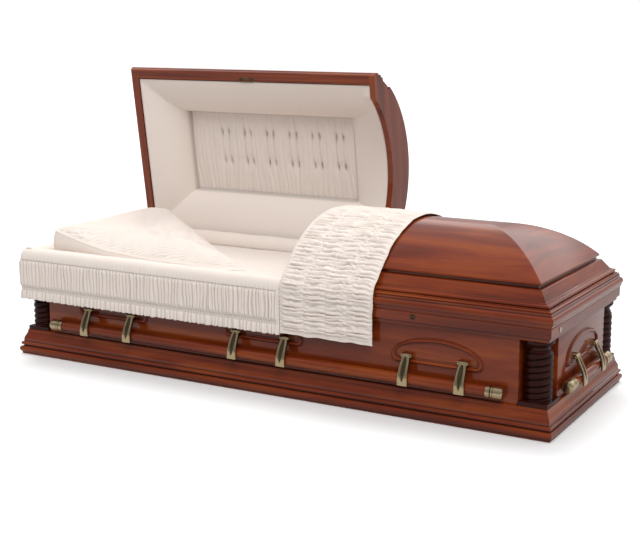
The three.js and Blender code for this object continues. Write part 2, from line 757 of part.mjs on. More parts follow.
// Continuous hinges: a leaf screwed to the rear rail and a leaf on the lid's rear torus, with
// knuckles that take turns along a pin held by the body's knuckles.
const LEAF_THICK = 3;
const KNUCKLE_RADIUS = 7;
const HINGE_PIN_RADIUS = 3;
const HINGE_PIN_PLAY = 0.5;
const KNUCKLE_PLAY = 1;
const HINGE_END = 60; // hinge stops short of each end of its lid
function knuckle(x0, x1, radius) {
  return alongX(arc(pinY, pinZ, radius, 22.5, 337.5, 7), x0, x1);
}
for (const [lid, { parent, sign, cut }] of Object.entries(LIDS)) {
  const far = sign * (halfLength - RECESS_ALONG);
  const near = cut + sign * HINGE_END;
  const [x0, x1] = [Math.min(far, near), Math.max(far, near)];
  const count = 3;
  const pitch = (x1 - x0) / count;
  const bodyLeaf = [];
  const lidLeaf = [];
  const fascia = halfWidth - FASCIA_INSET + GAP;
  bodyLeaf.push(box(x0, x1, fascia, fascia + LEAF_THICK, SEAM - 29, SEAM - 3));
  bodyLeaf.push(knuckle(x0, x1, HINGE_PIN_RADIUS));
  const torus = halfWidth - TORUS_INSET + GAP;
  lidLeaf.push(box(x0, x1, torus, torus + LEAF_THICK, SEAM + 4, SEAM + 31));
  for (let i = 0; i < count; i++) {
    const a = x0 + pitch * i + (i ? KNUCKLE_PLAY / 2 : 0);
    const b = x0 + pitch * (i + 1) - (i < count - 1 ? KNUCKLE_PLAY / 2 : 0);
    if (i % 2 === 0) {
      bodyLeaf.push(knuckle(a, b, KNUCKLE_RADIUS));
      bodyLeaf.push(box(a, b, fascia, pinY, pinZ - 3, pinZ + 1));
    } else {
      const strap = [
        [torus, SEAM + 8],
        [pinY - 5, pinZ + 1],
        [pinY + 5, pinZ + 1],
        [torus + LEAF_THICK, SEAM + 8],
      ];
      lidLeaf.push(knuckle(a, b, KNUCKLE_RADIUS));
      lidLeaf.push(alongX(strap, a, b));
    }
  }
  const bore = solid(knuckle(x0 - 1, x1 + 1, HINGE_PIN_RADIUS + HINGE_PIN_PLAY));
  const turning = lidLeaf.map(solid).reduce((a, b) => a.add(b));
  add(root, lid + "_hinge_body_leaf", joined(bodyLeaf), bronze);
  add(parent, lid + "_hinge_lid_leaf", surface(turning.subtract(bore)), bronze);
}

// The bed: a board laid across the tops of the corner returns, and a mattress with bevelled edges.
const BED_BOARD_THICK = 12;
const bedX = halfLength - BED_MARGIN;
const bedY = halfWidth - BED_MARGIN;
const bedRing = (inset, z) => [
  [inset - bedX, inset - bedY, z],
  [bedX - inset, inset - bedY, z],
  [bedX - inset, bedY - inset, z],
  [inset - bedX, bedY - inset, z],
];
const bedFoot = RAIL_BOTTOM + BED_BOARD_THICK;
add(root, "bed_board", box(-bedX, bedX, -bedY, bedY, RAIL_BOTTOM, bedFoot), board);
const mattressRings = [bedRing(0, bedFoot + GAP), bedRing(0, BED_EDGE), bedRing(BED_BEVEL, BED_TOP)];
add(root, "mattress", loft(mattressRings), crepe);

// The pillow: tucked into the head end, with its foot side running slantwise across the bed. It
// is deep at the head and thins towards the foot. Its plan is a rounded three-sided shape, in
// shares of the bed's half length and half width.
const PILLOW_PLAN = [
  { along: -0.979, across: -0.959, top: 462 },
  { along: -0.570, across: -0.966, top: 432 },
  { along: -0.193, across: -0.948, top: 394 },
  { along: -0.107, across: -0.808, top: 388 },
  { along: -0.254, across: -0.309, top: 398 },
  { along: -0.478, across: 0.309, top: 416 },
  { along: -0.702, across: 0.773, top: 452 },
  { along: -0.875, across: 0.948, top: 490 },
  { along: -0.975, across: 0.948, top: 482 },
];
const PILLOW_RISE = 80; // at its middle
const PILLOW_MIDDLE = { along: -0.661, across: -0.206 };
function pillowRing(share, rise) {
  const { along: a, across: b } = PILLOW_MIDDLE;
  return PILLOW_PLAN.map(({ along, across, top }) => [
    bedX * (a + (along - a) * share),
    bedY * (b + (across - b) * share),
    BED_TOP + GAP + (top - BED_TOP) * rise,
  ]);
}
function pillow() {
  const rows = [pillowRing(0.97, 0), pillowRing(1, 0.5), pillowRing(0.95, 0.95), pillowRing(0.5, 1)];
  // The top is not flat, so it is closed to a point instead of capped.
  const sides = PILLOW_PLAN.length;
  const peak = rows.length * sides;
  const points = rows.flat().flat();
  points.push(bedX * PILLOW_MIDDLE.along, bedY * PILLOW_MIDDLE.across, BED_TOP + PILLOW_RISE);
  const index = [];
  for (let i = 0; i + 1 < rows.length; i++) {
    for (let j = 0; j < sides; j++) {
      const a = i * sides + j;
      const b = i * sides + ((j + 1) % sides);
      index.push(a, b, b + sides, a, b + sides, a + sides);
    }
  }
  for (let j = 0; j < sides; j++) {
    index.push(peak - sides + j, peak - sides + ((j + 1) % sides), peak);
  }
  for (const [a, b, c] of capTriangles(rows[0])) index.push(c, b, a);
  return closed(points, index);
}
add(root, "pillow", pillow(), crepe);

// A band of cloth that goes round the head half: along the front, round the head end and along
// the rear. Its section's points are [inset, z]; stop is where each long side ends.
function headBand(section, stop, sides) {
  const pieces = sides.map((side) => {
    if (side === "head") return frameSide(section, side);
    return side === "front"
      ? frameSide(section, side, undefined, stop)
      : frameSide(section, side, -stop, undefined);
  });
  return pieces;
}

// The pieces of a band are closed up at the mitres, so that they join into one.
function bandGeometry(section, stop, sides) {
  const pieces = headBand(section, stop, sides).map(solid);
  const keys = [];
  const insets = section.map(([inset]) => inset);
  const levels = section.map(([, z]) => z);
  const [near, wide] = [Math.min(...insets), Math.max(...insets)];
  const middle = (near + wide) / 2;
  const level = (Math.min(...levels) + Math.max(...levels)) / 2;
  for (const side of sides) {
    if (side === "head") continue;
    const y = (side === "front" ? -1 : 1) * (halfWidth - middle);
    const size = (wide - near) * 0.2;
    keys.push(
      solid(
        box(middle - halfLength - size, middle - halfLength + size, y - size, y + size, level - 6, level + 6),
      ),
    );
  }
  return surface([...pieces, ...keys].reduce((a, b) => a.add(b)));
}

// Lining of the body's head half: it hangs inside the walls, and swells over the rim as a roll.
const liningStop = SPLIT_X - 10;
const rollInner = RIM_INSET + 24;
const liningSection = [
  [rollInner, SEAM - 25],
  [RIM_INSET + 4, SEAM - 25],
  [RIM_INSET + 4, SEAM + 2],
  [RIM_INSET - 22, SEAM + 2],
  [RIM_INSET - 24, SEAM + 26],
  [RIM_INSET - 16, ROLL_TOP - 12],
  [RIM_INSET - 2, ROLL_TOP - 3],
  [RIM_INSET + 14, ROLL_TOP - 8],
  [rollInner, ROLL_TOP - 26],
];
add(
  root,
  "body_lining",
  bandGeometry(liningSection.reverse(), liningStop, ["front", "head", "rear"]),
  crepe,
);

// The overlay skirt: it falls from the roll, outside the rail and panels, to a straight hem.
const skirtOuter = FASCIA_INSET - SKIRT_STANDOFF - SKIRT_THICK;
const skirtInner = FASCIA_INSET - SKIRT_STANDOFF;
const skirtSection = [
  [skirtInner, SKIRT_HEM],
  [skirtInner, SEAM + 6],
  [RIM_INSET - 27, SEAM + 14],
  [RIM_INSET - 27, ROLL_TOP - 18],
  [skirtInner + 6, ROLL_TOP - 14],
  [skirtOuter + 1, SEAM + 26],
  [skirtOuter, SEAM + 12],
  [skirtOuter + 2, SEAM - 40],
  [skirtOuter, SKIRT_HEM + 40],
  [skirtOuter, SKIRT_HEM],
];
add(
  root,
  "overlay_skirt",
  bandGeometry(skirtSection, liningStop, ["front", "head"]),
  crepe,
);

// The throw: a cloth over the cut end of the foot lid, following the mouldings up from its hem
// on the front, over the vault and a little way down behind.
const THROW_BACK_Y = 190;
function throwSection() {
  const clear = 3;
  const front = [
    [FASCIA_INSET - 9, SKIRT_HEM],
    [FASCIA_INSET - 9, SEAM - 6],
    [TORUS_INSET - clear, SEAM + 12],
    [TORUS_INSET - clear, SEAM + 34],
    [18, SEAM + 54],
    [32, SEAM + 70],
    [44, SEAM + 76],
    [LIP_INSET - clear - 3, SEAM + 112],
  ].map(([inset, z]) => [inset - halfWidth, z]);
  const radius = vaultRadius + clear;
  const from = Math.asin((vaultHalf + 1) / radius);
  const to = -Math.asin(THROW_BACK_Y / radius);
  const over = Array.from({ length: 9 }, (_, i) => {
    const angle = from + ((to - from) * i) / 8;
    return [-radius * Math.sin(angle), vaultCentre + radius * Math.cos(angle)];
  });
  const under = [...front, ...over];
  const upper = under.map(([y, z], i) => {
    const before = under[Math.max(0, i - 1)];
    const after = under[Math.min(under.length - 1, i + 1)];
    const run = new THREE.Vector2(after[0] - before[0], after[1] - before[1]).normalize();
    return [y - run.y * THROW_THICK, z + run.x * THROW_THICK];
  });
  return [...under, ...upper.reverse()];
}
add(
  root,
  "throw",
  alongX(throwSection(), SPLIT_X + SPLIT_GAP, SPLIT_X + SPLIT_GAP + THROW_WIDTH),
  crepe,
);

// Lid linings: a puffed border slopes up from the rim to a flat middle panel. At the cut end it
// starts from the arched way in the header board.
const PUFF = [
  [0, 0],
  [0.32, 0.24],
  [0.74, 0.66],
  [1, 1],
]; // share of the border's width, share of the panel's height
function puffHeight(margin) {
  const share = Math.min(1, margin / PANEL_MARGIN);
  const next = Math.max(1, PUFF.findIndex(([at]) => at >= share));
  const [[a, low], [b, high]] = [PUFF[next - 1], PUFF[next]];
  return LINING_LOW + (PANEL_HEIGHT - LINING_LOW) * (low + ((high - low) * (share - a)) / (b - a));
}
function lidLining(sign, cut) {
  const inset = RIM_INSET + 3;
  const outX = halfLength - inset;
  const nearX = sign * (cut + sign * (HEADER_THICK + 2));
  const halfY = halfWidth - inset;
  const margins = PUFF.map(([at]) => at * PANEL_MARGIN);
  const xs = [...margins.map((m) => outX - m), nearX + PANEL_MARGIN, nearX];
  const ys = [...margins.map((m) => m - halfY), ...margins.map((m) => halfY - m).reverse()];
  const rows = xs.map((x) => {
    const level = (y) => {
      const end = Math.min(1, (x - nearX) / PANEL_MARGIN);
      const arched = archHeight(y) + 4 + (PANEL_HEIGHT - archHeight(y) - 4) * end;
      return Math.min(puffHeight(halfY - Math.abs(y)), puffHeight(outX - x), arched);
    };
    const lower = ys.map((y) => [sign * x, y, level(y)]);
    const upper = ys.map((y) => [sign * x, y, level(y) + LINING_THICK]);
    return [...lower, ...upper.reverse()];
  });
  return loft(rows);
}
for (const [lid, { parent, sign, cut }] of Object.entries(LIDS)) {
  add(parent, lid + "_lid_lining", lidLining(sign, cut), crepe);
}

export default root;
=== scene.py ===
"""A half-couch cherry casket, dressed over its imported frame.

Lengths are millimetres in the shape functions and become metres when a mesh is made.
+X is the foot end, -Y the front and +Z up. The head lid is worked out shut and then
turned open about its hinge pin.
"""

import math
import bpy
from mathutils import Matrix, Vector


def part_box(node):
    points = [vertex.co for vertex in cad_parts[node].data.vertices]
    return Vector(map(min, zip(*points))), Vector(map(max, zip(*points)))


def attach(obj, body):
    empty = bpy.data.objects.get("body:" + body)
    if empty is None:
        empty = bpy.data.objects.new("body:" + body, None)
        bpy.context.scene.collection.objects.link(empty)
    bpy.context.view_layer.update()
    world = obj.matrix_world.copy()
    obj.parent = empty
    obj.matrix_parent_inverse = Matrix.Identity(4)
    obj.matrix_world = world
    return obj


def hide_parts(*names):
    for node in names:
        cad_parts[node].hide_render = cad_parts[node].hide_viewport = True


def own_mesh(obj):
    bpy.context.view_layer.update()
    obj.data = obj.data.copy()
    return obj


bl_info = {
    "name": "Half-couch casket",
    "version": (1, 0, 0),
    "blender": (4, 5, 0),
    "location": "View3D > Sidebar > Casket",
    "description": "Builds the wood, metal and crepe of a panelled casket over its frame",
    "category": "Object",
}

import bmesh
import bpy
import numpy as np
from bpy.props import FloatProperty, FloatVectorProperty, IntProperty, PointerProperty
from mathutils import Matrix, Vector

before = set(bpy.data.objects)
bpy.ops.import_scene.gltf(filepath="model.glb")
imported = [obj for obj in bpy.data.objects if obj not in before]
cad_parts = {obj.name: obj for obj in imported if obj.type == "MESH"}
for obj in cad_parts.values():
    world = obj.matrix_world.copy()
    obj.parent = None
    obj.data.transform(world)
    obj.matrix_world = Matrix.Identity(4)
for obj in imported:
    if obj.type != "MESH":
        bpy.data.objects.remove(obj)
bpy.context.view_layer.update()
MM = 0.001
BASE_BOX = [corner * 1000 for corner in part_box("base_moulding_head")]
LID_BOX = [corner * 1000 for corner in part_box("foot_lid_vault")]

HALF_LENGTH = -BASE_BOX[0].x
HALF_WIDTH = 375.0
SEAM = 345.0
RAIL_BOTTOM = 300.0
BASE_TOP = 93.0
PANEL_INSET = 35.0
PANEL_THICK = 22.0
RIM_INSET = 52.0
LIP_INSET = 77.0
SPLIT_HEAD = 100.0
SPLIT_FOOT = 104.0
HEADER = 22.0
PIN_Y = 374.0
PIN_Z = 335.0
RECESS_ALONG = 124.0
RECESS_ACROSS = 138.0
MITRE = 0.2
ARM_SPACING = 196.0
PAIR_OFFSET = 0.611 * HALF_LENGTH
HANDLE_SHIFT = 15.0
PIVOT_HEIGHT = 203.0
BAR_HEIGHT = 129.0
BAR_STANDOFF = 24.0
PIN_STANDOFF = 15.0
VAULT_TOP = LID_BOX[1].z
VAULT_SPRING = 467.0
VAULT_HALF = HALF_WIDTH - LIP_INSET
VAULT_RISE = VAULT_TOP - VAULT_SPRING
VAULT_RADIUS = (VAULT_HALF**2 + VAULT_RISE**2) / (2 * VAULT_RISE)
VAULT_CENTRE = VAULT_TOP - VAULT_RADIUS
VAULT_THICK = 14.0
VAULT_INNER_HALF = 285.4
ARCH_HALF = 275.0
ARCH_TOP = 453.0

# Turn, half length of the run and half width of the frame for each side.
SIDES = {
    "front": (0, HALF_LENGTH, HALF_WIDTH),
    "foot": (90, HALF_WIDTH, HALF_LENGTH),
    "rear": (180, HALF_LENGTH, HALF_WIDTH),
    "head": (270, HALF_WIDTH, HALF_LENGTH),
}
PAIRS = {
    "front": (HANDLE_SHIFT - PAIR_OFFSET, HANDLE_SHIFT, HANDLE_SHIFT + PAIR_OFFSET),
    "rear": (-HANDLE_SHIFT - PAIR_OFFSET, -HANDLE_SHIFT, PAIR_OFFSET - HANDLE_SHIFT),
    "head": (0.0,),
    "foot": (0.0,),
}
BAR_HALF = {"front": 907.0, "rear": 907.0, "head": 215.0, "foot": 215.0}


def colour(code):
    """An sRGB hex value as a linear colour: the standard sRGB curve undone, channel by channel."""
    channels = [int(code[i : i + 2], 16) / 255 for i in (1, 3, 5)]
    curve = [c / 12.92 if c <= 0.04045 else ((c + 0.055) / 1.055) ** 2.4 for c in channels]
    return (*curve, 1.0)


def tint(name, description, code):
    """A colour property whose default is an sRGB hex value."""
    return FloatVectorProperty(
        name=name,
        description=description,
        default=colour(code),
        size=4,
        min=0.0,
        max=1.0,
        subtype="COLOR",
    )


def millimetres(name, description, value):
    """A length property in metres whose default is given in millimetres."""
    return FloatProperty(
        name=name, description=description, default=value * MM, unit="LENGTH", precision=4
    )


class CasketSizes(bpy.types.PropertyGroup):
    """Sizes that change how the casket is dressed."""

    open_angle: FloatProperty(
        name="Head lid angle",
        description="How far the head lid stands open; it matches the frame's rest pose",
        default=math.radians(82),
        subtype="ANGLE",
    )
    rope_depth: millimetres("Rope depth", "How deep the columns' strands are cut", 6.0)
    rope_pitch: millimetres("Rope pitch", "Height from one strand to the next", 21.0)
    gather_pitch: millimetres("Skirt gathers", "Spacing of the skirt's gathers", 15.5)
    gather_depth: millimetres("Gather depth", "How far the skirt's gathers stand out", 4.8)
    pleat_pitch: millimetres("Throw pleats", "Spacing of the throw's pleats", 18.0)
    pleat_depth: millimetres("Pleat depth", "How far the throw's pleats stand out", 4.8)
    throw_columns: IntProperty(
        name="Throw columns", description="Pleated columns across the throw", default=4, min=1
    )


class CasketColours(bpy.types.PropertyGroup):
    """Colours of the casket's finishes."""

    cherry_dark: tint("Cherry, dark", "Late wood and pores under the lacquer", "#451308")
    cherry_mid: tint("Cherry, middle", "Body of the wood under the lacquer", "#732c11")
    cherry_light: tint("Cherry, light", "Early wood under the lacquer", "#a04e14")
    column: tint("Columns", "Darker stain on the rope columns", "#2c0b05")
    metal: tint("Antique metal", "Raised edges of the handle arms", "#c2ad88")
    patina: tint("Patina", "Darkened recesses of the metal", "#574a3a")
    crepe: tint("Crepe", "Bedding, skirt, throw and linings", "#e9ddd4")
    floor: tint("Floor", "Studio floor", "#f8f8f8")


def sizes():
    """The casket's sizes, from the scene."""
    return bpy.context.scene.casket_sizes


def colours():
    """The casket's colours, from the scene."""
    return bpy.context.scene.casket_colours


# Outlines and paths


def arc(x, y, radius, start, end, steps):
    """Points of a round arc: centre plus radius times cosine and sine of an even run of angles."""
    angle = np.radians(np.linspace(start, end, steps + 1))
    return np.stack([x + radius * np.cos(angle), y + radius * np.sin(angle)], 1)


def rounded(points, radius, steps=3):
    """A closed outline with each corner replaced by a parabola that is tangent to both sides."""
    points = np.asarray(points, float)
    before = np.roll(points, 1, 0) - points
    after = np.roll(points, -1, 0) - points
    reach_a = np.linalg.norm(before, axis=1, keepdims=True)
    reach_b = np.linalg.norm(after, axis=1, keepdims=True)
    cut_a = before / reach_a * np.minimum(radius, 0.45 * reach_a)
    cut_b = after / reach_b * np.minimum(radius, 0.45 * reach_b)
    t = np.linspace(0, 1, steps + 1)[None, :, None]
    curve = points[:, None] + (1 - t) ** 2 * cut_a[:, None] + t**2 * cut_b[:, None]
    return curve.reshape(-1, 2)


def girth(section):
    """Distance along an outline from its first point."""
    steps = np.linalg.norm(np.diff(section, axis=0), axis=1)
    return np.concatenate([[0.0], np.cumsum(steps)])


def turned(xyz, degrees):
    """Points turned about the upright axis through the origin."""
    c, s = math.cos(math.radians(degrees)), math.sin(math.radians(degrees))
    x, y = xyz[..., 0], xyz[..., 1]
    return np.stack([c * x - s * y, s * x + c * y, xyz[..., 2]], -1)


def opened(xyz):
    """Points of the shut head lid, turned about the hinge pin by the lid's angle about -X."""
    angle = sizes().open_angle
    c, s = math.cos(angle), math.sin(angle)
    y, z = xyz[..., 1] - PIN_Y, xyz[..., 2] - PIN_Z
    return np.stack([xyz[..., 0], PIN_Y + y * c + z * s, PIN_Z - y * s + z * c], -1)


# Side of the middle, place of the cut end, body, and what places the shut lid's points.
LIDS = {
    "head": (-1, SPLIT_HEAD, "head_lid", opened),
    "foot": (1, SPLIT_FOOT, "foot_lid", np.asarray),
}


def smooth_step(x):
    """Zero below 0, one above 1, and 3x^2 - 2x^3 between."""
    x = np.clip(x, 0, 1)
    return x * x * (3 - 2 * x)


def wander(x, seed, scale, octaves=3):
    """A smooth seeded wobble from -1 to 1: sines at rising rates and falling size, summed."""
    rng = np.random.default_rng(seed)
    total = np.zeros_like(np.asarray(x, float))
    for octave in range(octaves):
        rate = 2 * math.pi * 1.83**octave / scale
        total = total + 0.6**octave * np.sin(rate * x + rng.uniform(0, 2 * math.pi))
    return total / 2.0


class Skin:
    """Gathers lattices of points into one mesh, with a grain coordinate for its material."""

    def __init__(self):
        self.points = []
        self.grain = []
        self.depth = []
        self.faces = []
        self.count = 0

    def lattice(self, xyz, grain, depth=None, closed=False):
        """Quads between neighbouring points of xyz[i, j]. Where closed, each row is a ring, and
        the first and last rings are filled with one face each."""
        rows, columns = xyz.shape[:2]
        index = np.arange(rows * columns).reshape(rows, columns) + self.count
        both = np.hstack([index, index[:, :1]]) if closed else index
        quads = np.stack([both[:-1, :-1], both[1:, :-1], both[1:, 1:], both[:-1, 1:]], -1)
        self.faces.extend(quads.reshape(-1, 4).tolist())
        if closed:
            self.faces.append(index[0].tolist())
            self.faces.append(index[-1][::-1].tolist())
        self.points.append(xyz.reshape(-1, 3) * MM)
        self.grain.append(np.broadcast_to(grain, xyz.shape).reshape(-1, 3) * MM)
        flat = np.zeros((rows, columns)) if depth is None else depth
        self.depth.append(np.broadcast_to(flat, (rows, columns)).reshape(-1))
        self.count += rows * columns
        return self

    def solid(self, xyz, grain, depth=None):
        """A closed lattice."""
        return self.lattice(xyz, grain, depth, closed=True)

    def piece(self, name, finish, body, slot, replaces=(), angle=38.0):
        """The gathered mesh as an object that rides on a body, with its faces looking out."""
        mesh = bpy.data.meshes.new(name)
        mesh.from_pydata(np.vstack(self.points).tolist(), [], self.faces)
        grain = mesh.attributes.new("grain", "FLOAT_VECTOR", "POINT")
        grain.data.foreach_set("vector", np.vstack(self.grain).astype(np.float32).ravel())
        # The recess attribute holds painted shade for wood and cloth, and the real patina for
        # metal.
        depth = mesh.attributes.new("recess", "FLOAT", "POINT")
        depth.data.foreach_set("value", np.concatenate(self.depth).astype(np.float32))
        edit = bmesh.new()
        edit.from_mesh(mesh)
        bmesh.ops.remove_doubles(edit, verts=edit.verts, dist=1e-6)
        bmesh.ops.recalc_face_normals(edit, faces=edit.faces)
        edit.to_mesh(mesh)
        edit.free()
        mesh.shade_smooth()
        mesh.set_sharp_from_angle(angle=math.radians(angle))
        piece = bpy.data.objects.new(name, mesh)
        bpy.context.scene.collection.objects.link(piece)
        mesh.materials.append(material(finish))
        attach(piece, body)
        if replaces:
            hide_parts(*replaces)
        return piece


def along(xyz, axis, offset=(0, 0, 0)):
    """Grain coordinates of points: their own place, with the axis that the grain follows first."""
    order = {"x": (0, 1, 2), "y": (1, 0, 2), "z": (2, 0, 1)}[axis]
    return xyz[..., order] + np.asarray(offset, float)


def carried(section, side):
    """A closed section of (inset, height) along one side of the frame, mitred at both corners:
    each point runs from -(run - inset) to run - inset, less a hair at each mitre."""
    turn, run, reach = SIDES[side]
    x = (run - section[:, 0] - MITRE) * np.linspace(-1, 1, 3)[:, None]
    y = np.broadcast_to(section[:, 0] - reach, x.shape)
    z = np.broadcast_to(section[:, 1], x.shape)
    distance = np.broadcast_to(girth(section), x.shape)
    grain = np.stack([x + 4000 * turn / 90, distance, np.zeros_like(x)], -1)
    return turned(np.stack([x, y, z], -1), turn), grain


def round_three(section, sign, stop, corner=0.0, corner_steps=1):
    """A section of (inset, height) carried along the front, round one end and back along the
    rear, from x = stop. Each ring turns its two corners at that inset, on a small radius."""
    inset, height = section[:, 0], section[:, 1]
    half_x, half_y = HALF_LENGTH - inset, HALF_WIDTH - inset
    radius = np.minimum(corner, np.maximum(half_y, 0) * 0.9)
    angle = np.linspace(-math.pi / 2, 0, corner_steps + 1)[:, None]
    front_x = half_x - radius + radius * np.cos(angle)
    front_y = -half_y + radius + radius * np.sin(angle)
    start = np.full((1, len(section)), sign * stop)
    x = np.vstack([start, front_x, front_x[::-1], start]) * sign
    y = np.vstack([-half_y[None], front_y, -front_y[::-1], half_y[None]])
    z = np.broadcast_to(height, x.shape)
    xyz = np.stack([x, y, z], -1)
    travel = girth(xyz[:, 0])
    grain = np.stack(
        [
            np.broadcast_to(travel[:, None], x.shape),
            np.broadcast_to(girth(section), x.shape),
            np.zeros_like(x),
        ],
        -1,
    )
    return xyz, grain


def turned_shape(profile, sides, centre, axis="x"):
    """A profile of (place along the axis, radius) spun round that axis, closed at both ends."""
    angle = np.linspace(0, 2 * math.pi, sides, endpoint=False)[None, :]
    place, radius = profile[:, :1], profile[:, 1:2]
    a, b = radius * np.cos(angle), radius * np.sin(angle)
    c = np.broadcast_to(place, a.shape)
    stacked = {"x": (c, a, b), "y": (a, c, b), "z": (a, b, c)}[axis]
    return np.stack(stacked, -1) + np.asarray(centre, float)


def block(x0, x1, y0, y1, z0, z1, round_edge=1.2):
    """An upright block: a rectangle with rounded corners, whose first and last rows are drawn in
    so that its top and bottom edges are eased too."""
    rows = []
    for z, draw in ((z0, round_edge), (z0 + round_edge, 0), (z1 - round_edge, 0), (z1, round_edge)):
        near, far, left, right = x0 + draw, x1 - draw, y0 + draw, y1 - draw
        plan = [(near, left), (far, left), (far, right), (near, right)]
        ring = rounded(plan, round_edge + 0.3)
        rows.append(np.column_stack([ring, np.full(len(ring), z)]))
    return np.stack(rows)


def upright(plan, z0, z1, ease=1.0):
    """A plan outline carried straight up from z0 to z1."""
    ring = rounded(plan, ease)
    rows = [np.column_stack([ring, np.full(len(ring), z)]) for z in (z0, z1)]
    return np.stack(rows)


def slab(outline, x0, x1):
    """An outline of (y, z) carried from x0 to x1."""
    rows = [np.column_stack([np.full(len(outline), x), outline]) for x in (x0, x1)]
    return np.stack(rows)


# Materials


def add_node(tree, kind, settings=None, inputs=None, links=None):
    """A node with its settings, its socket values and the links that feed it."""
    made = tree.nodes.new(kind)
    for key, value in (settings or {}).items():
        setattr(made, key, value)
    for key, value in (inputs or {}).items():
        made.inputs[key].default_value = value
    for key, source in (links or {}).items():
        tree.links.new(source, made.inputs[key])
    return made


def new_material(name, **shader_values):
    """A material with its Principled shader's own sockets set."""
    made = bpy.data.materials.new(name)
    made.use_nodes = True
    shader = made.node_tree.nodes["Principled BSDF"]
    for key, value in shader_values.items():
        shader.inputs[key.replace("_", " ")].default_value = value
    return made, made.node_tree, shader


def ramp(tree, factor, stops):
    """A colour ramp through (place, colour) stops, fed by a factor."""
    made = add_node(tree, "ShaderNodeValToRGB", links={"Fac": factor})
    elements = made.color_ramp.elements
    while len(elements) < len(stops):
        elements.new(0.5)
    for element, (place, value) in zip(elements, stops):
        element.position = place
        element.color = tuple(value)
    return made


# Length and width of the cherry's figure and of its dark fibres, in millimetres, and how much
# of the fibres is added to the figure.
FIGURE_LONG = 560.0
FIGURE_WIDE = 64.0
FIBRE_LONG = 34.0
FIBRE_WIDE = 1.6
FIBRE_SHARE = 0.2
# Size of the metal's mottle and of the crepe's pebbles, in millimetres.
METAL_MOTTLE = 6.0
CREPE_PEBBLE = 2.2


def dense(section, step=2.5):
    """A section with points added along its long straight runs, at most one step apart."""
    runs = []
    for a, b in zip(section[:-1], section[1:]):
        parts = max(1, int(np.ceil(np.linalg.norm(b - a) / step)))
        runs.append(a + (b - a) * np.arange(parts)[:, None] / parts)
    return np.vstack([*runs, section[-1:]])


# Its share is used as painted shade in the hollows of mouldings.
def hollows(section, reach=6.0):
    """How hollow a section is at each point: how far the mean of the points within reach lies
    outside it along the outward normal, as a share from 0 to 1."""
    distance = girth(section)
    near = (np.abs(distance[:, None] - distance[None, :]) < reach).astype(float)
    mean = near @ section / near.sum(1)[:, None]
    run = np.gradient(section, axis=0)
    run /= np.maximum(np.linalg.norm(run, axis=1, keepdims=True), 1e-6)
    after = np.roll(section, -1, 0)
    area = (section[:, 0] * after[:, 1] - after[:, 0] * section[:, 1]).sum()
    normal = np.column_stack([run[:, 1], -run[:, 0]]) * np.sign(area)
    return np.clip(((mean - section) * normal).sum(1) / 1.8, 0, 0.9)[None, :]


def dimmed(tone, share):
    """A linear colour with each channel times a share, at most one."""
    return tuple(min(1.0, c * share) for c in tone[:3]) + (1.0,)


def attribute(tree, name, socket):
    """One output of a mesh attribute."""
    return add_node(tree, "ShaderNodeAttribute", {"attribute_name": name}).outputs[socket]


def stretched(tree, place, long, wide):
    """A place over a length along the grain and a width across it, both in millimetres."""
    scale = {"Scale": (1000 / long, 1000 / wide, 1000 / wide)}
    return add_node(
        tree, "ShaderNodeMapping", inputs=scale, links={"Vector": place}
    ).outputs["Vector"]


def noise(tree, place, scale=1.0, **others):
    """A noise texture's factor at a place; the others are its sockets by name."""
    values = {"Scale": scale, **{key.capitalize(): value for key, value in others.items()}}
    return add_node(
        tree, "ShaderNodeTexNoise", inputs=values, links={"Vector": place}
    ).outputs["Fac"]


def times_plus(tree, value, factor, added, **settings):
    """One value times a number, plus another value."""
    settings["operation"] = "MULTIPLY_ADD"
    return add_node(
        tree, "ShaderNodeMath", settings, {1: factor}, {0: value, 2: added}
    ).outputs["Value"]


def ranged(tree, value, from_min, from_max, to_min, to_max):
    """A value carried from one range to another, kept inside it."""
    names = ("From Min", "From Max", "To Min", "To Max")
    limits = dict(zip(names, (from_min, from_max, to_min, to_max)))
    return add_node(
        tree, "ShaderNodeMapRange", inputs=limits, links={"Value": value}
    ).outputs["Result"]


def blended(tree, factor, first, second):
    """A colour between the first, which is a value or a socket, and the second, a value."""
    values = {7: second}
    links = {0: factor}
    if isinstance(first, tuple):
        values[6] = first
    else:
        links[6] = first
    return add_node(tree, "ShaderNodeMix", {"data_type": "RGBA"}, values, links).outputs[2]


def lacquered_wood(name, dark, middle, light, coat=0.85, from_object=False):
    """Cherry, sanded, stained red-brown and sprayed with clear gloss lacquer: the eye sees a
    soft figure and short dark fibres under a hard, mirror-smooth coat, with painted shade that
    darkens the hollows and grooves. from_object reads object coordinates, whose X is the grain."""
    made, tree, shader = new_material(
        name,
        Roughness=0.45,
        IOR=1.5,
        Coat_Weight=coat,
        Coat_Roughness=0.07,
        Coat_IOR=1.45,
        Specular_IOR_Level=0.05,
    )
    if from_object:
        place = add_node(tree, "ShaderNodeTexCoord").outputs["Object"]
    else:
        place = attribute(tree, "grain", "Vector")
    figure = noise(
        tree,
        stretched(tree, place, FIGURE_LONG, FIGURE_WIDE),
        detail=4.0,
        roughness=0.5,
        distortion=0.7,
    )
    fibre = noise(tree, stretched(tree, place, FIBRE_LONG, FIBRE_WIDE), detail=3.0, roughness=0.6)
    tones = [(0.26, dark), (0.58, middle), (0.98, light)]
    wood = ramp(tree, times_plus(tree, fibre, FIBRE_SHARE, figure), tones).outputs["Color"]
    # Painted shade: the recess attribute darkens the wood in hollows and grooves.
    groove = attribute(tree, "recess", "Fac")
    wood_with_painted_shade = blended(tree, groove, wood, dimmed(dark, 0.12))
    tree.links.new(wood_with_painted_shade, shader.inputs["Base Color"])
    return made


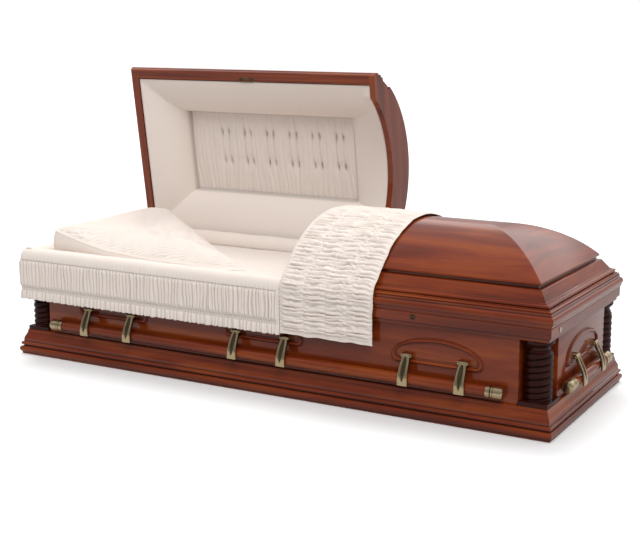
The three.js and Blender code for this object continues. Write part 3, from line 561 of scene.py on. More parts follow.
def antique_metal(name, bright, patina):
    """Zinc die-casting, plated, darkened and rubbed back: raised edges are pale and polished,
    and the recesses keep a brown patina."""
    made, tree, shader = new_material(name, Metallic=1.0, Roughness=0.26)
    place = add_node(tree, "ShaderNodeTexCoord").outputs["Object"]
    mottle = noise(tree, place, 1000 / METAL_MOTTLE, detail=4.0, roughness=0.6)
    recess = attribute(tree, "recess", "Fac")
    amount = times_plus(tree, mottle, 0.3, recess, use_clamp=True)
    worn = ramp(tree, amount, [(0.12, bright), (0.95, patina)])
    tree.links.new(worn.outputs["Color"], shader.inputs["Base Color"])
    rough = ranged(tree, amount, 0.0, 1.0, 0.2, 0.5)
    tree.links.new(rough, shader.inputs["Roughness"])
    return made


def crepe_cloth(name, tone, crinkle, crinkle_height):
    """Polyester crepe, woven and heat-set: a matt ivory cloth whose surface is covered in fine
    crinkles that run across its gathers, with painted shade darkening its valleys, creases and
    seams. The crinkles are drawn coarser than the real thread."""
    made, tree, shader = new_material(
        name,
        Roughness=0.88,
        Sheen_Weight=0.12,
        Sheen_Roughness=0.5,
        Specular_IOR_Level=0.2,
    )
    place = attribute(tree, "grain", "Vector")
    long = crinkle * 2
    wrinkle = noise(tree, stretched(tree, place, long, crinkle), detail=2.0, roughness=0.5)
    pebble = noise(tree, place, 1000 / CREPE_PEBBLE, detail=2.0)
    relief = add_node(
        tree,
        "ShaderNodeBump",
        inputs={"Strength": 0.5, "Distance": crinkle_height * MM},
        links={"Height": times_plus(tree, pebble, 0.5, wrinkle)},
    )
    tree.links.new(relief.outputs["Normal"], shader.inputs["Normal"])
    valley = attribute(tree, "recess", "Fac")
    shade = blended(tree, valley, tuple(tone), dimmed(tone, 0.62))
    tree.links.new(shade, shader.inputs["Base Color"])
    return made


MATERIALS = {}


def material(name):
    """One of the casket's materials, made when it is first asked for."""
    if name in MATERIALS:
        return MATERIALS[name]
    tones = colours()
    stain_and_painted_shade = tuple(tones.column)
    recipes = {
        "lacquered_cherry": (
            lacquered_wood,
            (tones.cherry_dark, tones.cherry_mid, tones.cherry_light),
        ),
        "lacquered_cherry_dark": (
            lacquered_wood,
            (dimmed(stain_and_painted_shade, 0.45), stain_and_painted_shade, dimmed(stain_and_painted_shade, 1.9), 0.4),
        ),
        "sanded_board": (
            lacquered_wood,
            (colour("#8a5a3c"), colour("#a87850"), colour("#c09468"), 0.85, True),
        ),
        "antique_plated_zinc": (antique_metal, (tones.metal, tones.patina)),
        "pressed_steel": (antique_metal, (colour("#b8b6b0"), colour("#77756f"))),
        "pleated_crepe": (crepe_cloth, (tones.crepe, 5.0, 0.45)),
        "smooth_crepe": (crepe_cloth, (tones.crepe, 7.0, 0.1)),
    }
    maker, values = recipes[name]
    MATERIALS[name] = maker(name, *values)
    return MATERIALS[name]


# Wood


def base_section():
    """Base moulding: foot, torus, groove, bead, fillet, ogee and flat top, then the inner side."""
    torus = arc(13, 19, 13, -122, -222, 12)
    bead = arc(11, 40, 6.5, -100, -260, 10)
    t = np.linspace(0, 1, 14)
    ogee = np.column_stack([12.5 + 10.5 * smooth_step(t), 56 + 31 * t])
    outer = np.vstack(
        [
            [[70, 0.0], [7.5, 0.0]],
            torus,
            [[11, 30.5], [11.5, 33.2]],
            bead,
            [[12, 47.2], [12.5, 54.5]],
            ogee,
            [[23.5, 89.0], [24.5, BASE_TOP], [58, BASE_TOP], [58, 11.7], [70, 11.7]],
        ]
    )
    return rounded(outer, 0.8, 2)


def rail_section():
    """Top rail: a plain fascia over a narrow step."""
    return rounded(
        [
            [RIM_INSET, RAIL_BOTTOM],
            [26.5, RAIL_BOTTOM],
            [25, RAIL_BOTTOM + 1.5],
            [25, 312.5],
            [17, 313.8],
            [17, SEAM - 0.2],
            [RIM_INSET, SEAM - 0.2],
        ],
        1.2,
    )


def lid_moulding_outer():
    """Outer face of the lid moulding from the seam up: torus, two beads, slope and recess."""
    torus = arc(24, 368, 15, -118, -262, 14)
    small = arc(23.0, 394.4, 2.9, -100, -255, 6)
    bead = arc(37, 407.2, 5.6, -95, -265, 8)
    return np.vstack(
        [
            [[17, SEAM + 0.3]],
            [[14, 351.0]],
            torus[2:-1],
            [[19, 390.4]],
            small,
            [[27.5, 398.2], [28, 400.8]],
            bead,
            [[43.5, 413.2], [44, 415.0], [48, 416.5], [71, 447.5]],
            [[74, 449.5], [84, 450.6], [86, 452.6], [86, 459.6]],
        ]
    )


def lid_section():
    """The lid moulding's whole section, with the inner side that faces the lining."""
    inner = [[102, 459.6], [102, 437], [68, 399], [RIM_INSET, 385], [RIM_INSET, SEAM + 0.3]]
    return rounded(np.vstack([lid_moulding_outer(), inner]), 0.8, 2)


def vault_profile(steps=72):
    """The vault's outer profile as (inset, height): a rounded lip, then a round arc to the
    crest."""
    lip = arc(LIP_INSET + 3.4, 464.2, 3.4, 270, 160, 8)
    steep = math.asin((VAULT_HALF - 0.6) / VAULT_RADIUS)
    angle = np.linspace(steep, 0, steps)
    half = VAULT_RADIUS * np.sin(angle)
    height = VAULT_CENTRE + VAULT_RADIUS * np.cos(angle)
    over = np.column_stack([HALF_WIDTH - half, height])
    return np.vstack([[[LIP_INSET + 12, 460.6]], lip, over])


def make_base():
    """Four mitred lengths of base moulding."""
    for side in SIDES:
        section = dense(base_section())
        xyz, grain = carried(section, side)
        # Painted shade: the hollows of the section are darkened.
        Skin().solid(xyz, grain, hollows(section)).piece(
            "base_" + side,
            "lacquered_cherry",
            "casket",
            "cherry",
            ["base_moulding_" + side],
        )


def make_rail():
    """Four mitred lengths of top rail."""
    for side in SIDES:
        section = dense(rail_section())
        xyz, grain = carried(section, side)
        # Painted shade: the hollows of the section are darkened.
        dark = hollows(section)
        Skin().solid(xyz, grain + [0, 900, 0], dark).piece(
            "rail_" + side, "lacquered_cherry", "casket", "cherry", ["top_rail_" + side]
        )


def make_panels():
    """Body panels: each a board whose two ends turn back round the corner recesses."""
    for number, (side, (turn, run, reach)) in enumerate(SIDES.items()):
        long = side in ("front", "rear")
        face = PANEL_INSET - reach
        end = run - (RECESS_ALONG if long else RECESS_ACROSS)
        depth = (RECESS_ACROSS if long else RECESS_ALONG) - reach
        stop = depth - 0.3 if long else depth + PANEL_THICK
        inner = end - PANEL_THICK
        plan = [
            (-end, face),
            (end, face),
            (end, stop),
            (inner, stop),
            (inner, face + PANEL_THICK),
            (-inner, face + PANEL_THICK),
            (-inner, stop),
            (-end, stop),
        ]
        xyz = upright(plan, BASE_TOP + 0.3, RAIL_BOTTOM - 0.3)
        grain = along(xyz, "x", (5000 * number, 0, 0))
        grain = np.stack([grain[..., 0], grain[..., 2], grain[..., 1]], -1)
        Skin().solid(turned(xyz, turn), grain).piece(
            "panel_" + side, "lacquered_cherry", "casket", "cherry", ["body_panel_" + side]
        )


CARVED_TOP = 266.0


def carved_outline(inset, count=96):
    """Half an ellipse on a low straight foot with round corners, drawn in all round by inset.
    The ellipse is half-width times cosine and rise times sine above the shoulder."""
    corner = 20 - 0.4 * inset
    half, foot = 160 - inset, 175 + inset
    shoulder = max(197, foot + corner)
    angle = np.linspace(0, math.pi, count)
    rise = CARVED_TOP - inset - shoulder
    top = np.column_stack([half * np.cos(angle), shoulder + rise * np.sin(angle)])
    left = arc(corner - half, foot + corner, corner, 184, 270, 8)
    right = arc(half - corner, foot + corner, corner, 270, 356, 8)
    return np.vstack([top, left, right])


def carved_profile():
    """The carved border's section as (inset, stand-out, painted shade): a step, a broad rounded
    band with a groove on each side of it, a fine line, and the level field inside."""
    band = arc(8.5, 2.6, 5.2, 170, 10, 12)
    band = np.column_stack([band, np.zeros(len(band))])
    return np.vstack(
        [
            [[-0.8, -0.2, 0.6], [0, 2.6, 0.5], [1.0, 3.4, 0], [2.3, 3.4, 0], [3.0, 2.0, 0.9]],
            band,
            [[14.0, 1.9, 0.9], [14.8, 3.6, 0.1], [17.2, 3.6, 0.1], [18.2, 1.6, 0.9]],
            [[20.0, 1.4, 0.3], [23.0, 1.4, 0]],
        ]
    )


def make_carved_panels():
    """The carved eyebrow panels behind each pair of arms."""
    for side, (turn, _, reach) in SIDES.items():
        skin = Skin()
        profile = carved_profile()
        for middle in PAIRS[side]:
            rows = []
            for inset, out, _ in profile:
                ring = carved_outline(inset)
                level = np.full(len(ring), PANEL_INSET - reach - out)
                rows.append(np.column_stack([ring[:, 0] + middle, level, ring[:, 1]]))
            xyz = np.stack(rows)
            grain = along(xyz, "x", (700, 0, 0))[..., (0, 2, 1)]
            # Painted shade: the profile's third column darkens the grooves and the feet of the
            # steps.
            skin.solid(turned(xyz, turn), grain, profile[:, 2:])
        skin.piece("carved_panels_" + side, "lacquered_cherry", "casket", "cherry")


# Turned mouldings under and over the rope shaft, as (height, radius).
COLUMN_FOOT = np.array(
    [[106.9, 30], [106.9, 39], [107.6, 40.6], [109.6, 41], [111.6, 40.2], [112.4, 37], [112.6, 33]]
)
COLUMN_CAP = np.array(
    [
        [262, 30],
        [263, 36],
        [266, 37.5],
        [269, 36],
        [270, 33],
        [275, 33],
        [281, 36],
        [286, 41],
        [289, 43],
        [290, 45],
        [298.5, 45.5],
        [299.7, 45],
    ]
)
COLUMN_INSET = 70.0
SHAFT_LOW = 110.0
SHAFT_HIGH = 265.0
SHAFT_RADIUS = 36.0
PLINTH_INSET = 26.0
PLINTH_TOP = 107.0


def make_columns():
    """Rope columns: the radius swells over each strand as the root of one minus the square of the
    distance from its middle, with fine threads on it, and the strands climb round as z grows."""
    rope = sizes()
    pitch, depth = rope.rope_pitch / MM, rope.rope_depth / MM
    z = np.linspace(SHAFT_LOW, SHAFT_HIGH, 230)[:, None]
    angle = np.linspace(0, 2 * math.pi, 110, endpoint=False)[None, :]
    for corner, (sign_x, sign_y) in {
        "front_head": (-1, -1),
        "front_foot": (1, -1),
        "rear_head": (-1, 1),
        "rear_foot": (1, 1),
    }.items():
        phase = 2 * angle / (2 * math.pi) - (z + 1.3 * np.sin(z / 11)) / pitch
        across = 2 * (phase - np.floor(phase)) - 1
        swell = np.sqrt(np.clip(1 - across**2, 0, 1))
        threads = 0.6 * np.cos(across * 4 * math.pi + 1.5 * np.sin(2 * angle)) * swell
        fade = smooth_step((z - SHAFT_LOW) / 7) * smooth_step((SHAFT_HIGH - z) / 7)
        radius = SHAFT_RADIUS + fade * (depth * swell + threads)
        shaft = np.stack([radius * np.cos(angle), radius * np.sin(angle), z + 0 * angle], -1)
        # Painted shade: the grooves between strands are darkened through the recess attribute.
        dark = np.clip(1 - swell, 0, 1) * fade
        x = sign_x * (HALF_LENGTH - COLUMN_INSET)
        y = sign_y * (HALF_WIDTH - COLUMN_INSET)
        place = np.array([x, y, 0.0])
        skin = Skin()
        skin.solid(shaft + place, along(shaft, "z", (0, 0, 90 * sign_x)), dark)
        for part in (COLUMN_FOOT, COLUMN_CAP):
            ring = turned_shape(part, 64, (0, 0, 0), "z")
            skin.solid(ring + place, along(ring, "z"))
        inner_x = sign_x * (HALF_LENGTH - RECESS_ALONG + 0.3)
        inner_y = sign_y * (HALF_WIDTH - RECESS_ACROSS + 0.3)
        outer_x = sign_x * (HALF_LENGTH - PLINTH_INSET)
        outer_y = sign_y * (HALF_WIDTH - PLINTH_INSET)
        plinth = block(
            min(inner_x, outer_x),
            max(inner_x, outer_x),
            min(inner_y, outer_y),
            max(inner_y, outer_y),
            BASE_TOP + 0.3,
            PLINTH_TOP,
        )
        skin.solid(plinth, along(plinth, "x"))
        skin.piece(
            "column_" + corner,
            "lacquered_cherry_dark",
            "casket",
            "dark_cherry",
            ["corner_column_" + corner],
        )


def arch_height(y):
    """Height of the header's arched way at y: a round arc, no lower than the seam."""
    rise = ARCH_TOP - SEAM
    radius = (ARCH_HALF**2 + rise**2) / (2 * rise)
    arc_height = ARCH_TOP - radius + np.sqrt(np.maximum(0, radius**2 - y**2))
    return np.maximum(SEAM + 0.3, arc_height)


def header_plan():
    """The cut end's outline as (y, z): the moulding, the vault over it, and the arched way."""
    left = np.vstack([lid_moulding_outer(), [[LIP_INSET + 1, 460.4], [LIP_INSET, 464]]])
    side = np.column_stack([left[:, 0] - HALF_WIDTH, left[:, 1]])
    steep = math.asin((VAULT_HALF - 0.3) / VAULT_RADIUS)
    angle = np.linspace(-steep, steep, 60)
    crown = np.column_stack(
        [VAULT_RADIUS * np.sin(angle), VAULT_CENTRE + VAULT_RADIUS * np.cos(angle)]
    )
    y = ARCH_HALF * np.sin(np.linspace(math.pi / 2, -math.pi / 2, 40))
    arch = np.column_stack([y, arch_height(y)])
    return np.vstack([side, crown, (side * [-1, 1])[::-1], arch])


def make_lids():
    """Each lid: a moulding frame carried round three sides, a hipped vault and a header board."""
    for name, (sign, cut, body, place) in LIDS.items():
        inside = cut + sign * (HEADER + 0.3)
        section = dense(lid_section())
        xyz, grain = round_three(section, sign, inside)
        # Painted shade: the hollows of the section are darkened.
        dark = hollows(section)
        Skin().solid(place(xyz), grain + [0, 300, 0], dark).piece(
            name + "_moulding",
            "lacquered_cherry",
            body,
            "cherry",
            [name + "_lid_moulding"],
        )
        outer = vault_profile()
        thin = VAULT_RADIUS - VAULT_THICK
        steep = math.asin(VAULT_INNER_HALF / thin)
        angle = np.linspace(0, steep, 16)
        under = np.column_stack(
            [HALF_WIDTH - thin * np.sin(angle), VAULT_CENTRE + thin * np.cos(angle)]
        )
        crest = HALF_WIDTH - 0.01
        ridge = [[crest, VAULT_TOP], [crest, VAULT_TOP - VAULT_THICK]]
        section = np.vstack([outer[:-1], ridge, under[1:]])
        xyz, grain = round_three(section, sign, inside, corner=5.0, corner_steps=5)
        Skin().solid(place(xyz), grain + [1300 * sign, 0, 0]).piece(
            name + "_vault",
            "lacquered_cherry",
            body,
            "cherry",
            [name + "_lid_vault"],
            angle=30,
        )
        faces = (cut, cut + sign * HEADER)
        board = slab(header_plan(), min(faces), max(faces))
        Skin().solid(place(board), along(board, "y")).piece(
            name + "_header", "lacquered_cherry", body, "cherry", [name + "_lid_header"]
        )


# Metal


# An arm's middle line as (stand-off, height), from the pin down past the bar.
ARM_LINE = np.array(
    [
        [3, 202],
        [9, 202],
        [15, 200.8],
        [18.5, 196],
        [23, 186],
        [31, 171],
        [38, 155],
        [42, 140],
        [43.4, 126],
        [43.2, 112],
    ]
)
# Turned shapes as (place, radius): a bar's end cap from its tip, an arm's barrel from its middle
# and the end of a pin from the ear.
CAP_PROFILE = np.array(
    [
        [-58, 12],
        [-58, 18.8],
        [-57, 20.4],
        [-44, 20.6],
        [-42.6, 19.2],
        [-41.4, 17.6],
        [-40, 19.4],
        [-39, 20.8],
        [-34, 20.8],
        [-33, 19.4],
        [-32, 19.4],
        [-31, 20.6],
        [-12, 21.0],
        [-6, 20.4],
        [-2.6, 18.4],
        [-0.8, 15.4],
        [0, 11],
        [0, 3],
    ]
)
BARREL_PROFILE = np.array([[-12.5, 5.6], [-11.7, 7.3], [11.7, 7.3], [12.5, 5.6]])
STUD_PROFILE = np.array([[0, 3.6], [1.2, 3.4], [1.8, 2.2]])
KEYHOLE_PROFILE = np.array(
    [[0, 9], [-1.2, 9], [-2.2, 8.2], [-2.4, 6.6], [-1.4, 5.4], [-0.9, 4.6], [-0.9, 0.4]]
)
KEYHOLE_PLACE = (590, 331)
PLUG_PROFILE = np.array([[0, 9], [1.0, 9], [1.7, 8.4], [2.0, 7], [2.0, 0.4]])
PLUG_PLACE = (-279, 329)
BAR_RADIUS = 17.8
EAR_REACH = 17.1
EAR_THICK = 4.0


def arm_lattice(middle):
    """One handle arm. Its middle line runs out from the pin over a level top facet, down and out
    past the bar, and stops square below it. Across its width the face is level with bevelled
    edges, and a pointed leaf is sunk in it: its width is a half sine along the arm and its depth
    falls from its middle line."""
    knots = ARM_LINE
    t = np.linspace(0, len(knots) - 1, 64)
    low = np.clip(t.astype(int), 0, len(knots) - 2)
    f = (t - low)[:, None]
    padded = np.vstack([2 * knots[0] - knots[1], knots, 2 * knots[-1] - knots[-2]])
    p0, p1, p2, p3 = (padded[low + k] for k in range(4))
    bend = (2 * p0 - 5 * p1 + 4 * p2 - p3) * f**2 + (3 * p1 - p0 - 3 * p2 + p3) * f**3
    line = 0.5 * (2 * p1 + (p2 - p0) * f + bend)
    run = np.gradient(line, axis=0)
    run /= np.linalg.norm(run, axis=1, keepdims=True)
    normal = np.column_stack([-run[:, 1], run[:, 0]])
    s = np.linspace(0, 1, len(line))[:, None]
    half = 12.5 + 5.5 * smooth_step((s - 0.15) / 0.85)
    edges = [1.0, 1.0, 0.92, 0.8, 0.68, 0.56, 0.46, 0.36, 0.27, 0.18, 0.09]
    u = np.array([-e for e in edges] + [0.0] + edges[::-1])[None, :]
    back = (np.arange(u.shape[1]) % (u.shape[1] - 1) == 0)[None, :]
    leaf = 0.62 * np.sin(math.pi * np.clip((s - 0.24) / 0.66, 0, 1)) ** 0.7 + 1e-3
    inside = np.clip((leaf - np.abs(u)) / 0.16, 0, 1)
    sunk = smooth_step(inside) * (1.2 + 1.6 * np.clip(1 - np.abs(u) / leaf, 0, 1))
    bevel = np.clip((np.abs(u) - 0.84) / 0.16, 0, 1)
    deep = -3.5 * np.exp(-(((s - 0.42) / 0.2) ** 2))
    thick = np.where(back, deep, 7.0 - 1.6 * bevel - sunk)
    x = middle + half * u
    out = line[:, :1] + normal[:, :1] * thick
    z = line[:, 1:] + normal[:, 1:] * thick
    recess = np.where(back, 0.8, 0.75 * smooth_step(inside) + 0.2 * bevel)
    return x, out, z, recess


def make_handles():
    """On each side: a lacquered bar with two turned metal caps, arms that hang from pins, and
    the ears and pins fixed to the panel."""
    metal = "antique_plated_zinc"
    for side, (turn, _, reach) in SIDES.items():
        face = PANEL_INSET - reach
        body = "handle_" + side
        half = BAR_HALF[side]
        centre = (0, face - BAR_STANDOFF, BAR_HEIGHT)
        rod = np.array([[-half + 56, BAR_RADIUS], [half - 56, BAR_RADIUS]])
        wood = turned_shape(rod, 48, centre)
        grain = along(wood, "x", (300, 0, 0))
        Skin().solid(turned(wood, turn), grain).piece(
            "bar_" + side,
            "lacquered_cherry",
            body,
            "cherry",
            ["handle_bar_" + side],
        )
        caps = Skin()
        for sign in (-1, 1):
            profile = (CAP_PROFILE + [half, 0]) * [sign, 1]
            before_tip = np.abs(profile[:, :1]) < half - 5
            groove = np.clip((20.4 - profile[:, 1:]) / 3, 0, 1) * before_tip
            ring = turned_shape(profile, 48, centre)
            caps.solid(turned(ring, turn), ring, groove * np.ones((1, 48)))
        caps.piece("caps_" + side, metal, body, "antique_metal")
        count = 0
        lugs = Skin()
        for pair in PAIRS[side]:
            for middle in (pair - ARM_SPACING / 2, pair + ARM_SPACING / 2):
                count += 1
                x, out, z, recess = arm_lattice(middle)
                xyz = np.stack([x, face - out, z], -1)
                arm = Skin()
                arm.solid(turned(xyz, turn), xyz, recess)
                pin = (0, face - PIN_STANDOFF, PIVOT_HEIGHT)
                barrel = turned_shape(BARREL_PROFILE + [middle, 0], 32, pin)
                arm.solid(turned(barrel, turn), barrel)
                arm.piece(
                    "arm_%s_%d" % (side, count),
                    metal,
                    body,
                    "antique_metal",
                    ["handle_arm_%s_%d" % (side, count)],
                )
                for start in (middle - EAR_REACH, middle + EAR_REACH - EAR_THICK):
                    plan = [(face + 0.5, 195.5), (face + 0.5, 210.5)]
                    nose = arc(face - PIN_STANDOFF, PIVOT_HEIGHT, 7.5, 90, 270, 12)
                    outline = np.vstack([plan, nose])
                    ear = slab(outline, start, start + EAR_THICK)
                    lugs.solid(turned(ear, turn), ear)
                for sign in (-1, 1):
                    place = middle + sign * EAR_REACH
                    stud = turned_shape(STUD_PROFILE * [sign, 1] + [place, 0], 20, pin)
                    lugs.solid(turned(stud, turn), stud)
        lugs.piece("lugs_" + side, metal, "casket", "antique_metal")


def make_fittings():
    """Keyhole disc, end plug, catch plate and the hinge leaves' finish."""
    metal = "antique_plated_zinc"
    for node, finish in {
        "head_hinge_body_leaf": metal,
        "head_hinge_lid_leaf": metal,
        "foot_hinge_body_leaf": metal,
        "foot_hinge_lid_leaf": metal,
        "floor_board": "sanded_board",
        "bed_board": "sanded_board",
    }.items():
        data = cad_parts[node].data
        data.materials.clear()
        data.materials.append(material(finish))
    face = 17 - HALF_WIDTH - 0.3
    ring = turned_shape(KEYHOLE_PROFILE, 40, (KEYHOLE_PLACE[0], face, KEYHOLE_PLACE[1]), "y")
    # Painted shade: the middle is darkened to the patina tone to stand for the keyhole's dark
    # opening; the outer rings carry the real patina.
    dark = np.array([0.3, 0.4, 0.8, 1, 1, 1, 1])[:, None] * np.ones((1, 40))
    Skin().solid(ring, ring, dark).piece(
        "keyhole", metal, "casket", "antique_metal", ["keyhole_escutcheon"]
    )
    ring = turned_shape(PLUG_PROFILE, 40, (HALF_LENGTH - 16.7, *PLUG_PLACE), "x")
    Skin().solid(ring, ring).piece(
        "rail_plug", "pressed_steel", "casket", "steel", ["end_plug"]
    )
    x, y = -476, 37 - HALF_WIDTH + 9
    ends = np.vstack([arc(27.5, 0, 10.5, -90, 90, 16), arc(-27.5, 0, 10.5, 90, 270, 16)])
    slot = np.vstack([arc(15, 0, 3.2, -90, 90, 16), arc(-15, 0, 3.2, 90, 270, 16)])
    rows = [
        (ends, SEAM + 3.3),
        (ends, SEAM + 1.0),
        (ends * 0.985, SEAM + 0.3),
        (slot, SEAM + 0.3),
        (slot * 0.98, SEAM + 2.4),
    ]
    xyz = np.stack([np.column_stack([ring + [x, y], np.full(len(ring), z)]) for ring, z in rows])
    dark = np.array([0, 0, 0, 0.3, 1])[:, None] * np.ones((1, xyz.shape[1]))
    Skin().solid(opened(xyz), xyz, dark + 0.45).piece(
        "catch_plate", metal, "head_lid", "antique_metal", ["lock_catch"]
    )


# Cloth


def thicken(piece, amount, offset=-1):
    """Gives a cloth its thickness: on its hidden side, or half on each where offset is 0."""
    made = piece.modifiers.new("thickness", "SOLIDIFY")
    made.thickness = amount * MM
    made.offset = offset


def head_rings(section, start, stations, radius, rear=True):
    """A section of (inset, height) carried round the head half along evenly spaced stations. At
    each station the inset is measured square to the path: straight sides joined by quarter
    circles whose centres lie inset `radius` from both faces."""
    straight = HALF_LENGTH + start - radius
    quarter = radius * math.pi / 2
    end_run = 2 * (HALF_WIDTH - radius)
    total = straight + quarter + end_run + (quarter + straight if rear else 0)
    s = np.linspace(0, total, stations)
    cx, cy = -HALF_LENGTH + radius, -HALF_WIDTH + radius
    a = s - straight
    b = a - quarter
    c = b - end_run
    d = c - quarter
    angle1 = np.clip(a / radius, 0, math.pi / 2)
    angle2 = np.clip(c / radius, 0, math.pi / 2)
    turn = -math.pi / 2 - angle1 - angle2
    px = np.where(a < 0, start - s, np.where(d > 0, cx + d, cx))
    py = np.where(b < 0, cy, np.where(c < 0, cy + b, -cy))
    normal = np.stack([np.cos(turn), np.sin(turn)], -1)
    inset = section[..., 0]
    if inset.ndim == 1:
        inset = np.broadcast_to(inset, (stations, len(inset)))
    height = np.broadcast_to(section[..., 1], inset.shape)
    out = radius - inset
    x = px[:, None] + normal[:, :1] * out
    y = py[:, None] + normal[:, 1:] * out
    return np.stack([x, y, height], -1), s


def make_rim_roll():
    """The padded roll that covers the rim round the head half: a rounded section, puckered a
    little where it is sewn to the skirt."""
    stations = 900
    quarter = np.linspace(0, 1, 15) * math.pi / 2
    outer = np.column_stack([5.5 + 27 * (1 - np.cos(quarter)), 363 + 41 * np.sin(quarter)])
    crown = [[40, 405.5], [50, 404], [60, 400]]
    inner = [[69, 392], [76, 380], [79, 364], [78, 346]]
    section = np.vstack([outer, crown, inner])
    grid = np.broadcast_to(section, (stations, len(section), 2)).copy()
    s = np.linspace(0, 2900, stations)[:, None]
    share = np.linspace(0, 1, len(section))[None, :]
    pucker = wander(s, 3, 17, 3) * np.exp(-share * 7) * 1.8
    pucker = pucker + wander(s, 5, 130, 2) * 1.2 * np.sin(math.pi * share)
    grid[..., 0] -= pucker
    rear = smooth_step((np.linspace(0, 1, stations)[:, None] - 0.612) / 0.015)
    grid[..., 0] = np.maximum(grid[..., 0], 21 * rear)
    grid[..., 1] += wander(s, 9, 260, 2) * 1.2 * np.sin(math.pi * share)
    xyz, s = head_rings(grid, 100.0, stations, radius=26)
    over = np.broadcast_to(girth(section), xyz.shape[:2])
    grain = np.stack([over, np.broadcast_to(s[:, None], xyz.shape[:2]), 0 * xyz[..., 0]], -1)
    piece = (
        Skin()
        .lattice(xyz, grain)
        .piece("rim_roll", "smooth_crepe", "casket", "crepe", ["body_lining"], angle=80)
    )
    thicken(piece, 2.0)
    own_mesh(piece)


def fold_wave(phase):
    """A gathered cloth's section: broad rounded ridges and narrow valleys, from a power of the
    half-angle sine, scaled from -1 to 1."""
    return 2 * np.abs(np.sin(phase / 2)) ** 0.8 - 1


def make_skirt():
    """The overlay skirt: gathers are rounded ridges with narrow valleys at an uneven spacing,
    deep in the middle of the drop, drawn in at the upper seam and at two rows of stitches, and
    loosened again into a ruffle below them."""
    cloth = sizes()
    pitch, deep = cloth.gather_pitch / MM, cloth.gather_depth / MM
    stations, rows = 1560, 54
    top, stitch, hem = 366.0, 257.0, 215.0
    drop = np.linspace(0, 1, rows)
    z = (top - drop * (top - hem))[None, :]
    s = np.linspace(0, 1900, stations)[:, None]
    body = smooth_step((top - 1 - z) / 15) * smooth_step((z - stitch - 2) / 14)
    ruffle = smooth_step((stitch - 7 - z) / 10)
    lean = wander(s, 21, 110, 2) * 8 * (top - z) / 150
    bend = 1.3 * np.sin(z / 17 + s / 23)
    warped = s + lean + bend + wander(s, 22, 57, 3) * 4.0
    rate = 2 * math.pi / pitch
    major = fold_wave(rate * warped)
    minor = fold_wave(rate * 1.63 * (s + 0.7 * lean) + 2.1 + wander(s, 26, 37, 2) * 1.5)
    loud = 0.85 + 0.35 * wander(s + 0.2 * z, 25, 83, 2)
    gathers = deep * loud * (0.85 * major + 0.25 * minor)
    crimped = 0.35 * deep * fold_wave(rate * 1.9 * s + wander(s, 24, 60, 2) * 2)
    free = deep * (0.6 * fold_wave(rate * 0.8 * warped + 1.1) + 0.3 * minor)
    swell = body * gathers + ruffle * free + (1 - body) * (1 - ruffle) * crimped
    puff = 3.0 * body + 2.6 * ruffle * smooth_step((stitch - z) / 40)
    inset = 6.6 - puff - 0.8 * swell
    seams = np.exp(-(((z - top) / 4) ** 2)) + np.exp(-(((z - stitch) / 2.6) ** 2))
    seams = seams + 0.8 * np.exp(-(((z - stitch + 7.5) / 2.4) ** 2))
    inset = inset + 2.2 * seams
    band = smooth_step((s - 3) / 2) * smooth_step((15 - s) / 2) + smooth_step((3 - s) / 2)
    inset = inset * (1 - 0.75 * band) + 4.0 * 0.75 * band
    level = z + smooth_step((hem + 9 - z) / 9) * wander(warped, 27, 33, 3) * 2.2
    section = np.stack([inset, level + 0 * s], -1)
    # Painted shade: an overall darkening, stronger in the valleys between gathers and at the
    # stitched seams, less on the ridges and the end band, none along the top edge.
    dark = np.clip(0.35 - 0.16 * swell - 0.5 * band + 0.35 * seams, 0, 1) * (z < top - 2)
    xyz, s = head_rings(section, 101.0, stations, radius=24, rear=False)
    fall = np.broadcast_to(z, xyz.shape[:2])
    grain = np.stack([fall, np.broadcast_to(s[:, None], xyz.shape[:2]), 0 * fall], -1)
    piece = (
        Skin()
        .lattice(xyz, grain, dark)
        .piece("skirt", "pleated_crepe", "casket", "crepe", ["overlay_skirt"], angle=80)
    )
    thicken(piece, 1.2)
    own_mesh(piece)


# The throw's front fall as (inset, height), from its hem up to the vault's foot.
THROW_FRONT = np.array(
    [
        [4.5, 218],
        [4.0, 250],
        [3.5, 290],
        [2.5, 330],
        [2.0, 352],
        [2.5, 376],
        [8, 394],
        [17, 410],
        [30, 425],
        [46, 442],
        [60, 458],
    ]
)


def throw_path():
    """The throw's line over the foot lid as (y, z), from its front hem up over the mouldings and
    the vault to its rear hem: straight drop, easing out over the torus, bridging the recess, and
    then the vault's own arc, a little outside it."""
    front = THROW_FRONT - [HALF_WIDTH, 0]
    radius = VAULT_RADIUS + 8
    start = math.asin((VAULT_HALF - 14) / radius)
    end = -math.asin(185 / radius)
    angle = np.linspace(start, end, 30)
    over = np.column_stack([-radius * np.sin(angle), VAULT_CENTRE + radius * np.cos(angle)])
    knots = np.vstack([front, over])
    distance = girth(knots)
    even = np.linspace(0, distance[-1], 420)
    line = np.column_stack([np.interp(even, distance, knots[:, k]) for k in (0, 1)])
    kernel = np.ones(15) / 15
    for k in (0, 1):
        ends = np.pad(line[:, k], 7, mode="edge")
        line[:, k] = np.convolve(ends, kernel, mode="valid")
    return line, even


